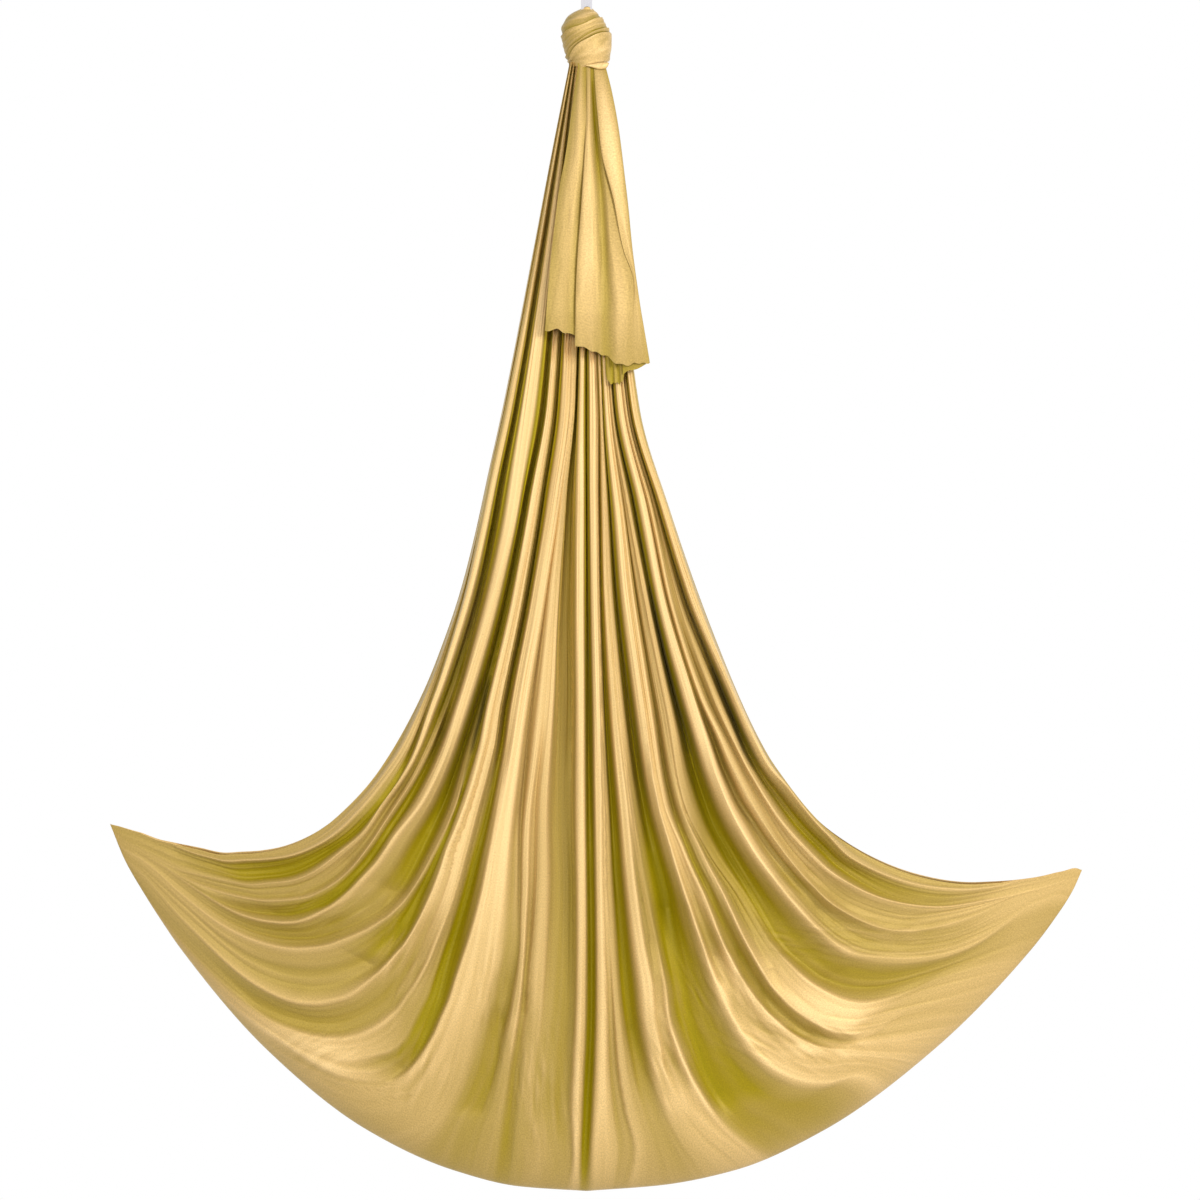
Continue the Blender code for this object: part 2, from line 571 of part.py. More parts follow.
def plunger_top():
    return HINGE_Z + GATE_SLOT_DEPTH + 2 * PLUNGER_HEAD_HEIGHT


def gate_spring():
    """Coil spring between the plunger's head and the end of its bore, one unbroken tube."""
    low = plunger_top() + SEAT_GAP + SPRING_WIRE_RADIUS
    high = HINGE_Z + GATE_SLOT_DEPTH + SPRING_BORE_DEPTH - SEAT_GAP - SPRING_WIRE_RADIUS
    radius = SPRING_BORE_RADIUS - RUNNING_GAP - SPRING_WIRE_RADIUS
    steps = SPRING_TURNS * SPRING_POINTS_PER_TURN
    centre_line = []
    for step in range(steps + 1):
        angle = 2 * math.pi * step / SPRING_POINTS_PER_TURN
        centre_line.append((CARABINER_HALF_WIDTH + radius * math.cos(angle), radius * math.sin(angle),
                            low + (high - low) * step / steps))
    curve = bpy.data.curves.new("gate_spring", "CURVE")
    curve.dimensions = "3D"
    curve.bevel_depth = SPRING_WIRE_RADIUS
    curve.bevel_resolution = 1
    curve.use_fill_caps = True
    spline = curve.splines.new("POLY")
    spline.points.add(len(centre_line) - 1)
    for point, place in zip(spline.points, centre_line):
        point.co = (*place, 1)
    spring = bpy.data.objects.new("gate_spring", curve)
    bpy.context.scene.collection.objects.link(spring)
    curve.materials.append(plated_steel("gate_spring"))
    print("gate spring, least gap to itself in mm:", round(1000 * least_self_gap(centre_line), 2))


def least_self_gap(centre_line):
    """Least distance between turns of the spring's wire, surface to surface."""
    least = math.inf
    for index, place in enumerate(centre_line):
        for other in centre_line[index + SPRING_POINTS_PER_TURN // 2:]:
            least = min(least, math.dist(place, other))
    return least - 2 * SPRING_WIRE_RADIUS


def lock_sleeve():
    inner = WIRE_RADIUS + RUNNING_GAP
    outer = inner + SLEEVE_WALL
    chamfer = SLEEVE_WALL / 3
    bottom = SLEEVE_TOP_Z - SLEEVE_LENGTH
    profile = [(inner, bottom), (outer - chamfer, bottom), (outer, bottom + chamfer), (outer, SLEEVE_TOP_Z - chamfer),
               (outer - chamfer, SLEEVE_TOP_Z), (inner, SLEEVE_TOP_Z)]
    sleeve = turn_around_z("lock_sleeve", profile, plated_steel("lock_sleeve"), hollow=True, steps=28,
                           centre=(CARABINER_HALF_WIDTH, 0))
    place_origin(sleeve, (CARABINER_HALF_WIDTH, 0, SLEEVE_TOP_Z))
    shade_round(sleeve)


def strap_path():
    """Closed line of the sling in the YZ plane, over the carabiner's bar and down through the knot."""
    steps = 14
    top = arc_points((0, CARABINER_BAR_Z), STRAP_LINE_RADIUS, 0, 180, steps)
    bottom = arc_points((0, STRAP_END_Z), STRAP_LINE_RADIUS, 180, 360, steps)
    return [(0, y, z) for y, z in top + bottom]


def sling_strap():
    strap = sweep_in_plane("sling_strap", strap_path(), (1, 0, 0), rectangle_section(STRAP_THICKNESS, STRAP_WIDTH),
                           True, white_webbing("sling_strap"))
    place_origin(strap, (0, 0, CARABINER_BAR_Z))
    shade_round(strap)


def strap_lap():
    """Sewn-down end of the sling's webbing, on its front run, with its rows of bar tacks."""
    back = -STRAP_OUTER - SEAT_GAP
    front = back - STRAP_THICKNESS
    top = CARABINER_BAR_Z - WIRE_RADIUS - LAP_BELOW_BAR
    half = STRAP_WIDTH / 2
    box("strap_lap", (-half, front, top - LAP_LENGTH), (half, back, top), white_webbing("strap_lap"))
    first = top - TACK_INSET - TACK_HEIGHT
    spacing = (LAP_LENGTH - 2 * TACK_INSET - TACK_HEIGHT) / (TACK_COUNT - 1)
    for tack in range(TACK_COUNT):
        low = first - tack * spacing
        box(f"bar_tack_{tack + 1}", (-half + TACK_INSET, front - SEAT_GAP - TACK_THICKNESS, low),
            (half - TACK_INSET, front - SEAT_GAP, low + TACK_HEIGHT), white_webbing(f"bar_tack_{tack + 1}"))


def knot_profile(depth):
    """Radius of the knot's outside at a depth below its top."""
    shape = [(0, 0.25), (CROWN_TOP_DEPTH, CROWN_TOP_RADIUS / KNOT_RADIUS), (0.18 * KNOT_HEIGHT, 0.66),
             (0.32 * KNOT_HEIGHT, 0.88), (0.55 * KNOT_HEIGHT, 1.0), (0.78 * KNOT_HEIGHT, 0.96),
             (KNOT_HEIGHT, KNOT_FOOT_RADIUS / KNOT_RADIUS)]
    return KNOT_RADIUS * smooth_curve(shape, depth)


def crown_edge(angle):
    """Depth of the crease between the crown and the upper wrap, round the knot. Angle 0 is at +X."""
    return KNOT_HEIGHT * (0.34 - 0.11 * math.cos(angle) + 0.03 * math.sin(angle))


def upper_edge(angle):
    """Depth of the crease between the upper wrap and the middle one."""
    return KNOT_HEIGHT * (0.55 - 0.20 * math.cos(angle) + 0.10 * math.sin(angle))


def middle_edge(angle):
    """Depth of the crease between the middle wrap and the lower one."""
    return upper_edge(angle) + MIDDLE_WRAP_HEIGHT


def wrap_section(inner, low, high, steps):
    """Section of a wrap between two depths, from its lower inner corner round the outside to its top."""
    points = [(inner, low)]
    for step in range(steps + 1):
        share = step / steps
        depth = low + (high - low) * share
        swell = WRAP_CREASE_DEPTH * (1 - math.sin(math.pi * share) ** 0.5)
        points.append((knot_profile(depth) - swell, depth))
    points.append((inner, high))
    return points


def wrap_body(name, sections, material):
    """Closed ring whose section changes as it goes round. Its faces are split the same way as its neighbours'."""
    steps = len(sections)
    width = len(sections[0])
    vertices = []
    for step, section in enumerate(sections):
        angle = 2 * math.pi * step / steps
        for radius, depth in section:
            vertices.append((radius * math.cos(angle), radius * math.sin(angle), KNOT_TOP_Z - depth))
    faces = []
    for step in range(steps):
        after = (step + 1) % steps
        for corner in range(width):
            beside = (corner + 1) % width
            here, there = step * width + corner, after * width + corner
            here_beside, there_beside = step * width + beside, after * width + beside
            if corner < width // 2:
                faces += [(here, there, there_beside), (here, there_beside, here_beside)]
            else:
                faces += [(here, there, here_beside), (there, there_beside, here_beside)]
    piece = add_object(name, vertices, faces, material)
    face_outwards(piece)
    shade_round(piece, math.radians(60))


def knot_wraps():
    inner = KNOT_CORE_RADIUS + SEAT_GAP
    steps = KNOT_STEPS
    angles = [2 * math.pi * step / steps for step in range(steps)]
    upper = [wrap_section(inner, upper_edge(a) - WRAP_GAP, crown_edge(a), 6) for a in angles]
    middle = [wrap_section(inner, middle_edge(a) - WRAP_GAP, upper_edge(a), 4) for a in angles]
    lower = [wrap_section(inner, KNOT_HEIGHT, middle_edge(a), 6) for a in angles]
    wrap_body("knot_wrap_upper", upper, gold_cloth("knot_wrap_upper"))
    wrap_body("knot_wrap_middle", middle, gold_cloth("knot_wrap_middle"))
    wrap_body("knot_wrap_lower", lower, gold_cloth("knot_wrap_lower"))


def knot_crown():
    """Top of the knot, drawn in round the sling where it enters."""
    inner = KNOT_CORE_RADIUS + SEAT_GAP
    ledge = CORE_TOP_DEPTH - SEAT_GAP
    steps = KNOT_STEPS
    sections = []
    for step in range(steps):
        edge = crown_edge(2 * math.pi * step / steps) - WRAP_GAP
        section = [(inner, edge)]
        for point in range(5):
            depth = edge + (CROWN_TOP_DEPTH - edge) * point / 4
            swell = WRAP_CREASE_DEPTH if point == 0 else 0
            section.append((knot_profile(depth) - swell, depth))
        section += [(CROWN_HOLE_RADIUS, CROWN_TOP_DEPTH), (CROWN_HOLE_RADIUS, ledge), (inner, ledge)]
        sections.append(section)
    wrap_body("knot_crown", sections, gold_cloth("knot_crown"))


def knot_core():
    """Gathered cloth inside the knot, with the slot that the sling's lower turn passes through."""
    top = KNOT_TOP_Z - CORE_TOP_DEPTH
    profile = [(0, KNOT_FOOT_Z), (KNOT_CORE_RADIUS, KNOT_FOOT_Z), (KNOT_CORE_RADIUS, top), (0, top)]
    core = turn_around_z("knot_core", profile, gold_cloth("knot_core"), hollow=False, steps=28)
    slot = sweep_in_plane("strap_slot", strap_path(), (1, 0, 0),
                          rectangle_section(STRAP_THICKNESS + 2 * SEAT_GAP, STRAP_WIDTH + 2 * SEAT_GAP), True, None)
    combine(core, slot, "DIFFERENCE")
    shade_round(core)


def knot_tuck():
    """End of the last wrap, folded under the lower wrap's edge at the knot's right front."""
    steps = 8
    centre_angle = math.radians(TUCK_ANGLE)
    half_angle = TUCK_WIDTH / 2 / KNOT_FOOT_RADIUS
    vertices = []
    for step in range(steps + 1):
        share = step / steps
        angle = centre_angle + half_angle * (2 * share - 1)
        plumpness = 0.25 + 0.75 * math.sin(math.pi * share)
        top = KNOT_HEIGHT - TUCK_HEIGHT * plumpness
        middle = (top + KNOT_HEIGHT) / 2
        swell = TUCK_THICKNESS * plumpness
        inner_top = knot_profile(top) + SEAT_GAP
        inner_middle = knot_profile(middle) + SEAT_GAP
        inner_foot = knot_profile(KNOT_HEIGHT) + SEAT_GAP
        section = [(inner_foot, KNOT_HEIGHT), (inner_foot + swell * 0.8, KNOT_HEIGHT), (inner_middle + swell, middle),
                   (inner_top + swell * 0.4, top), (inner_top, top), (inner_middle, middle)]
        for radius, depth in section:
            vertices.append((radius * math.cos(angle), radius * math.sin(angle), KNOT_TOP_Z - depth))
    width = 6
    faces = []
    for step in range(steps):
        for corner in range(width):
            beside = (corner + 1) % width
            faces.append((step * width + corner, (step + 1) * width + corner, (step + 1) * width + beside,
                          step * width + beside))
    faces.append(tuple(range(width)))
    faces.append(tuple(steps * width + corner for corner in reversed(range(width))))
    tuck = add_object("knot_tuck", vertices, faces, gold_cloth("knot_tuck"))
    face_outwards(tuck)
    shade_round(tuck, math.radians(60))


def cloth_place(across, down):
    """x and z of a point of the spread cloth, from its shares across and down."""
    if across < 0:
        sign, reach, rise, selvedge, bottom = -1, REACH_LEFT, TIP_RISE_LEFT, SELVEDGE_LEFT, BOTTOM_LEFT
    else:
        sign, reach, rise, selvedge, bottom = 1, REACH_RIGHT, TIP_RISE_RIGHT, SELVEDGE_RIGHT, BOTTOM_RIGHT
    out = abs(across) * smooth_curve(selvedge, down)
    return sign * out * reach, CLOTH_TOP_Z - down * (CLOTH_DROP - rise * smooth_curve(bottom, out))


def tip_taper(x, z):
    """Share of the full depth that is left near the cloth's two tips, where all the folds run together."""
    left = math.hypot(x + REACH_LEFT, z - CLOTH_TOP_Z + CLOTH_DROP - TIP_RISE_LEFT)
    right = math.hypot(x - REACH_RIGHT, z - CLOTH_TOP_Z + CLOTH_DROP - TIP_RISE_RIGHT)
    near = min(left, right) / TIP_TAPER_LENGTH
    return min(1, near)


def fold_depth(down):
    """Depth from the crests of the folds to their valleys."""
    depth = NECK_FOLD_DEPTH + (FOLD_DEPTH - NECK_FOLD_DEPTH) * smooth_curve(FOLD_DEEPENING, down)
    return depth * smooth_curve(FOLD_FLATTENING, down)


def leaf_depth(share, down, x, z):
    """Distance of a leaf's outer face from the plane between the two leaves."""
    taper = tip_taper(x, z)
    gap = POUCH_HALF_GAP * smooth_curve(POUCH_OPENING, down) * taper
    return SEAT_GAP / 2 + LEAF_THICKNESS + gap + fold_depth(down) * taper * (1 - share)


def leaf_body(name, facing):
    """One leaf of the cloth as a closed shell. Facing is -1 for the front leaf and 1 for the back one."""
    outside = []
    inside = []
    for down in LEAF_ROWS:
        lower = min(max((down - 0.5) / 0.25, 0), 1)
        for title, high_depth, low_depth, places in MAIN_FOLDS:
            across = smooth_curve(list(zip(LEVELS, places)), down)
            x, z = cloth_place(across, down)
            share = high_depth + (low_depth - high_depth) * lower
            depth = leaf_depth(share, down, x, z)
            outside.append((x, facing * depth, z))
            inside.append((x, facing * (depth - LEAF_THICKNESS), z))
    return sheet_body(name, outside, inside, len(MAIN_FOLDS), gold_cloth(name))


def sheet_body(name, outside, inside, columns, material):
    """Closed shell between two grids of points. Both are split along the same diagonals, so it's equally thick."""
    count = len(outside)
    rows = count // columns
    faces = []
    for row in range(rows - 1):
        for column in range(columns - 1):
            corner = row * columns + column
            across, below, opposite = corner + 1, corner + columns, corner + columns + 1
            if math.dist(outside[corner], outside[opposite]) < math.dist(outside[across], outside[below]):
                halves = [(corner, across, opposite), (corner, opposite, below)]
            else:
                halves = [(corner, across, below), (across, opposite, below)]
            for first, second, third in halves:
                faces.append((first, second, third))
                faces.append((third + count, second + count, first + count))
    border = [column for column in range(columns)]
    border += [row * columns + columns - 1 for row in range(1, rows)]
    border += [(rows - 1) * columns + column for column in range(columns - 2, -1, -1)]
    border += [row * columns for row in range(rows - 2, 0, -1)]
    for here, there in zip(border, border[1:] + border[:1]):
        faces.append((here, here + count, there + count, there))
    piece = add_object(name, outside + inside, faces, material)
    face_outwards(piece)
    return piece


def leaf_front_at(down):
    """How far forward the front leaf's foremost crest comes at a share of the way down."""
    return SEAT_GAP / 2 + LEAF_THICKNESS + POUCH_HALF_GAP * smooth_curve(POUCH_OPENING, down) + fold_depth(down)


def tail_fold_depth(share):
    return TAIL_FOLD_DEPTH_TOP + (TAIL_FOLD_DEPTH_HEM - TAIL_FOLD_DEPTH_TOP) * share


def back_tail_inner_face(share):
    """Distance of the back free end's inner face from the middle plane, clear of the front leaf."""
    return leaf_front_at(share * BACK_TAIL_LENGTH / CLOTH_DROP) + TAIL_CLEARANCE


def front_tail_inner_face(share):
    reach = share * (FRONT_TAIL_LENGTH + FRONT_TAIL_SLANT) / BACK_TAIL_LENGTH
    return back_tail_inner_face(reach) + tail_fold_depth(reach) + TAIL_THICKNESS + TAIL_CLEARANCE


def tail_body(name, folds, reach, length, slant, inner_face):
    """A free end of the cloth, hanging in front of the front leaf. Its hem slants down to the right."""
    left_hem = folds[0][2][-1]
    hem_width = folds[-1][2][-1] - left_hem
    outside = []
    inside = []
    for row in range(TAIL_ROW_COUNT):
        share = row / (TAIL_ROW_COUNT - 1)
        for title, depth_share, places in folds:
            x = reach * smooth_curve(list(zip(TAIL_LEVELS, places)), share)
            run = (length + slant * (places[-1] - left_hem) / hem_width) * share
            back = inner_face(share)
            front = back + TAIL_THICKNESS + tail_fold_depth(share) * (1 - depth_share)
            outside.append((x, -front, CLOTH_TOP_Z - run))
            inside.append((x, -front + TAIL_THICKNESS, CLOTH_TOP_Z - run))
    piece = sheet_body(name, outside, inside, len(folds), gold_cloth(name))
    place_origin(piece, (0, tail_hinge_y(), CLOTH_TOP_Z))
    return piece


def tail_hinge_y():
    """The free ends swing about the foremost line of their top edge."""
    return -(front_tail_inner_face(0) + TAIL_THICKNESS + TAIL_FOLD_DEPTH_TOP)


def build():
    clear_scene()
    ceiling_plate()
    swivel_housing()
    thrust_washer()
    stem_nut()
    swivel_eye()
    carabiner_body()
    gate_pin()
    carabiner_gate()
    spring_plunger()
    gate_spring()
    lock_sleeve()
    sling_strap()
    strap_lap()
    knot_core()
    knot_crown()
    knot_wraps()
    knot_tuck()
    leaf_body("front_leaf", -1)
    leaf_body("back_leaf", 1)
    tail_body("back_tail", BACK_TAIL_FOLDS, BACK_TAIL_REACH, BACK_TAIL_LENGTH, 0, back_tail_inner_face)
    tail_body("front_tail", FRONT_TAIL_FOLDS, FRONT_TAIL_REACH, FRONT_TAIL_LENGTH, FRONT_TAIL_SLANT,
              front_tail_inner_face)


build()
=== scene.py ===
"""Looks of the aerial yoga hammock: gold satin in deep folds, its knot, white webbing and plated steel."""
import math

import bpy
import numpy as np
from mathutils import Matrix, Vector


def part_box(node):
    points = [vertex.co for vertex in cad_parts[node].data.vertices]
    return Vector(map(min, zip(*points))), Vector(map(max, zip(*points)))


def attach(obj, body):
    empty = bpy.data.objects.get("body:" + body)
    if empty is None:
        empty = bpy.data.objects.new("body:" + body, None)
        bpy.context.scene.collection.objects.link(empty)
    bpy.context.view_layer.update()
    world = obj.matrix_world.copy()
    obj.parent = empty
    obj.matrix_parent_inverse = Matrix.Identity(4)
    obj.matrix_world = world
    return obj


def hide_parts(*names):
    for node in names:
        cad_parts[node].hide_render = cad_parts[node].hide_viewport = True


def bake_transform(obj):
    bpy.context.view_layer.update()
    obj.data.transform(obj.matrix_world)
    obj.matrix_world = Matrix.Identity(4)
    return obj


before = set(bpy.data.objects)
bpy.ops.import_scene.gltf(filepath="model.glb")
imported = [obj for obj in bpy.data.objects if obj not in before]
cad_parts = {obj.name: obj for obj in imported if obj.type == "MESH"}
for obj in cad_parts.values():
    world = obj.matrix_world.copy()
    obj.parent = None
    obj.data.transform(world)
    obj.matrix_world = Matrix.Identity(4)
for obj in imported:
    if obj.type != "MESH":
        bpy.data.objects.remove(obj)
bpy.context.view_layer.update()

# The photograph's scale, its middle and the lens it is seen through
PIXEL = 0.00176
MIDDLE_COLUMN = 586.5
KNOT_FOOT_ROW = 66.0
PHOTO_SIZE = 1200
RENDER_SIZE = 1024
LENS_MM = 135.0
SENSOR_MM = 36.0
CAMERA_DISTANCE = PHOTO_SIZE * PIXEL * LENS_MM / SENSOR_MM
# Fold crests stand nearer than the middle of the cloth and look larger: drawn in by this much, they lie on
# the cloth
CREST_NEARNESS = 0.990

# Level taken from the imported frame
CLOTH_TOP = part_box("front_leaf")[1].z

# Spread cloth, with -1 for the photograph's left side and 1 for its right. In lists of pairs the first
# value is the share of the way down, if nothing else is said.
CLOTH_DROP = 1.980
REACH = {-1: 0.8386, 1: 0.8721}
TIP_RISE = {-1: 0.646, 1: 0.565}
NECK_FOLD_DEPTH = 0.022
FOLD_DEPTH = 0.078
POUCH_HALF_GAP = 0.045
LEAF_CLEARANCE = 0.0017
SEAM_GAP = 0.00004
TIP_TAPER_LENGTH = 0.45
FOOT_ROUNDING = 0.06
CLOTH_FLAT_WIDTH = 2.20
TOP_HIDDEN = 0.0025
LEAF_COLUMNS = 700
LEAF_ROWS = 560
# How much of the spacing of columns and rows is even, and how much is closer at the sides and the bottom
COLUMN_SPACING = (0.62, 0.38)
ROW_SPACING = (0.60, 0.40)

# The fold lines before the left one and after the right one hang in swags towards the tips
LEFT_LINES = 17
RIGHT_LINES = 30
SWAGS = [(0.60, 0), (0.80, 1)]
# How far a swag's valley is drawn towards the fold below it
LEDGE_PULLS = [(0.50, 0), (0.70, 0.15), (1, 0.20)]
# Shares of the even wave and of the thin crest in a swag's height, and in its painted shading tone
SWAG_HEIGHTS = (0.55, 0.45)
SWAG_PAINTED_SHADING = (0.15, 0.85)
# A fold from its crest at 0 to its valley at 1: how much of a flat crest's height is a rounding and how much
# a fall, and between which places the fall, a slit, the painted passed-on light and the painted shading tone
# change
CREST_ROUNDING = 0.18
CREST_FALL = 0.82
FALL_PLACES = (0.34, 0.84)
SLIT_PLACES = (0.80, 1)
SLIT_PAINTED_LIGHT_PLACES = (0.62, 0.90)
PAINTED_SHADE_PLACES = (0.42, 0.74)
THIN_CREST_WIDTH = 0.20
# How much of a fold is flat with a sharp side and not an even wave
FLAT_CRESTS = [(0, 0.9), (0.45, 0.9), (0.75, 0.75), (1, 0.3)]
# How much of a fold's side falls gently and not in a narrow slit
SLIT_LEVELS = [(0, 0.10), (0.35, 0.12), (0.52, 0.40), (0.68, 1)]
# The steepest that a fold's side may be
STEEPEST = [(0, 9), (0.40, 6), (0.55, 3.6), (0.70, 1.5), (1, 1.1)]
# Fold lines that count as outermost, from either side: fully up to the first number, not at all from the
# second on
RIM_LINES = (4, 7)
# Where the outermost folds stand open, so that they don't pass on light and get no painted bounce light
OPEN_SIDES = [(0.40, 0), (0.55, 1)]
# The lowest tone of the painted valley shade, in the outermost valleys and in all valleys
RIM_TONES = [(0, 0), (0.40, 0), (0.50, 0.35), (0.62, 0)]
NECK_TONES = [(0, 0.38), (0.15, 0.36), (0.25, 0.15), (0.32, 0.04), (0.40, 0)]
# Light passed on between the two sides of a narrow fold, painted into the colour as painted bounce light: how
# much brighter it gets, and between which steepnesses
SLIT_PAINTED_LIGHT = 0.7
SLIT_STEEPNESS = (0.5, 1.8)
# Folds closed so tightly that no light comes out, darkened by painted shade: rows and columns of the
# photograph
TIGHT_SLITS = [
    [(585, 648.5), (620, 656), (660, 665), (690, 672), (720, 680), (755, 688.5)],
    [(665, 711), (690, 720.5), (720, 733), (750, 743.5), (770, 754)],
    [(675, 490), (710, 482), (735, 475.5), (755, 471)],
]
TIGHT_SLIT_HALF_WIDTH = 2.6
TIGHT_SLIT_PAINTED_SHADE = 0.85

# Crumpled patches of the front leaf: column and row of the middle, half width, half height, slant in
# degrees, strength
CRUMPLES = [
    (728, 985, 42, 40, 62, 1.0), (790, 1040, 60, 26, 30, 1.1), (845, 940, 70, 22, 12, 0.7),
    (672, 1060, 26, 55, 68, 0.8), (800, 880, 36, 22, 40, 0.6), (545, 1090, 40, 60, 86, 0.7),
    (400, 960, 22, 60, 118, 0.8), (330, 905, 40, 24, 150, 0.7), (420, 1060, 26, 40, 115, 0.7),
    (320, 1050, 50, 24, 150, 0.5), (930, 930, 40, 20, -10, 0.5), (700, 900, 26, 50, 68, 0.5),
    (500, 1020, 30, 70, 95, 0.5),
]
CRUMPLES_Y = -0.06
CRUMPLE_HEIGHT = 0.0016
# Painted shading on the crumples: lighter where their creases stand out, darker where they sink in
CRUMPLE_PAINTED_SHADING = 0.13
# Creases in them: width and length in pixels, start of the noise, strength, step of the seed
CREASES = [(3.6, 21, 90, 1, 0), (2.3, 13, 60, 0.6, 20)]
# Streaks along the folds: lumps per fold and their start, lumps on the way down and their start, strength,
# step of the seed
STREAKS = [(1.7, 40, 3.1, 9, 0.6, 0), (4.3, 11, 5.7, 5, 0.5, 1), (10.3, 7, 11, 3, 0.4, 4)]
STREAK_HEIGHT = 0.0022
# Painted shading on the streaks: lighter where they stand out, darker where they sink in
STREAK_PAINTED_SHADING = 0.12
STREAK_FULL_DEPTH = 0.02
LUMP_HEIGHT = 0.0015
LUMPS_PER_METRE = 9
DETAIL_LIMIT = 0.002

# How far the sides of the two leaves lie against each other, and how near the selvedge that begins and ends
CLOSED_SIDES = [(0, 1), (0.34, 1), (0.50, 0.7), (0.62, 0)]
CLOSED_SELVEDGE = (0.972, 0.999)
# How far the front leaf's valleys are filled out at the top, as a share of the folds' depth
FULLNESS = [(0.30, 1), (0.60, 0)]
MOST_FULLNESS = 0.30
# Finer gathers where the free end covers the front leaf, between rows and columns of the photograph
PLEAT_HEIGHT = 0.008
PLEATS_PER_FOLD = 2
PLEAT_EDGE_COLUMNS = 4
PLEAT_LEVELS = [(0, 0.2), (0.05, 1), (0.22, 1), (0.27, 0), (1, 0)]
PLEAT_LEFT = [(66, 582), (150, 570), (250, 555), (331, 549)]
PLEAT_RIGHT = [(66, 599), (150, 614), (250, 626), (363, 641)]
# Back leaf: how much stronger its folds are, and the lowest tone of its edge, a painted light on a strip that
# lies in the front leaf's shade, from where to where out and down
BACK_CONTRAST = 1.6
BACK_EDGE_PAINTED_LIGHT = 0.85
BACK_EDGE_OUT = (0.970, 0.985)
BACK_EDGE_DOWN = (0.55, 0.65)
# Painted light on cloth without folds by its place in x, lighter to the right where the light falls, how much
# painted shade darkens the bottom, the share of the fold depth from which on a fold has its full painted
# shading, and how much of it the shallowest ones have
PAINTED_SIDE_LIGHT = [
    (-0.65, 0.64), (-0.45, 0.60), (-0.25, 0.56), (-0.10, 0.60), (0.10, 0.68), (0.30, 0.78), (0.55, 0.80),
]
PAINTED_BOTTOM_SHADE = 0.02
FULL_TONE_DEPTH = 0.32
LEAST_TONE_SHARE = 0.35

# Selvedge: share of the reach at each share of the way down. Bottom fold: share of the rise at each share
# out.
SELVEDGE = {
    -1: [
        (0, 0.037), (0.075, 0.072), (0.165, 0.112), (0.308, 0.177), (0.363, 0.205), (0.418, 0.232),
        (0.474, 0.264), (0.531, 0.306), (0.570, 0.339), (0.657, 0.433), (0.715, 0.517), (0.741, 0.559),
        (0.764, 0.601), (0.785, 0.643), (0.804, 0.685), (0.823, 0.727), (0.844, 0.769), (0.862, 0.811),
        (0.889, 0.864), (0.908, 0.895), (0.934, 0.937), (0.962, 0.971), (1, 1)],
    1: [
        (0, 0.037), (0.120, 0.062), (0.307, 0.108), (0.397, 0.168), (0.508, 0.253), (0.626, 0.360),
        (0.651, 0.3905), (0.709, 0.471), (0.743, 0.532), (0.774, 0.592), (0.804, 0.653), (0.832, 0.713),
        (0.860, 0.774), (0.878, 0.814), (0.898, 0.855), (0.929, 0.915), (0.954, 0.956), (0.976, 0.984),
        (1, 1)],
}
BOTTOM = {
    -1: [
        (0, 0), (0.14, 0.0125), (0.28, 0.057), (0.46, 0.166), (0.67, 0.384), (0.85, 0.657),
        (0.893, 0.738), (0.933, 0.820), (0.969, 0.902), (1, 1)],
    1: [
        (0, 0), (0.15, 0.018), (0.30, 0.065), (0.48, 0.190), (0.70, 0.439), (0.897, 0.751),
        (0.943, 0.844), (0.982, 0.938), (1, 1)],
}
FOLD_DEEPENING = [(0, 0), (0.10, 0.45), (0.25, 0.90), (0.40, 1), (1, 1)]
FOLD_FLATTENING = [
    (0, 1), (0.55, 1), (0.70, 0.86), (0.80, 0.66), (0.88, 0.50), (0.94, 0.36), (0.98, 0.25), (1, 0.1),
]
POUCH_OPENING = [
    (0, 0.01), (0.30, 0.04), (0.50, 0.14), (0.66, 0.45), (0.78, 0.85), (0.87, 1), (0.96, 0.9), (1, 0.8),
]

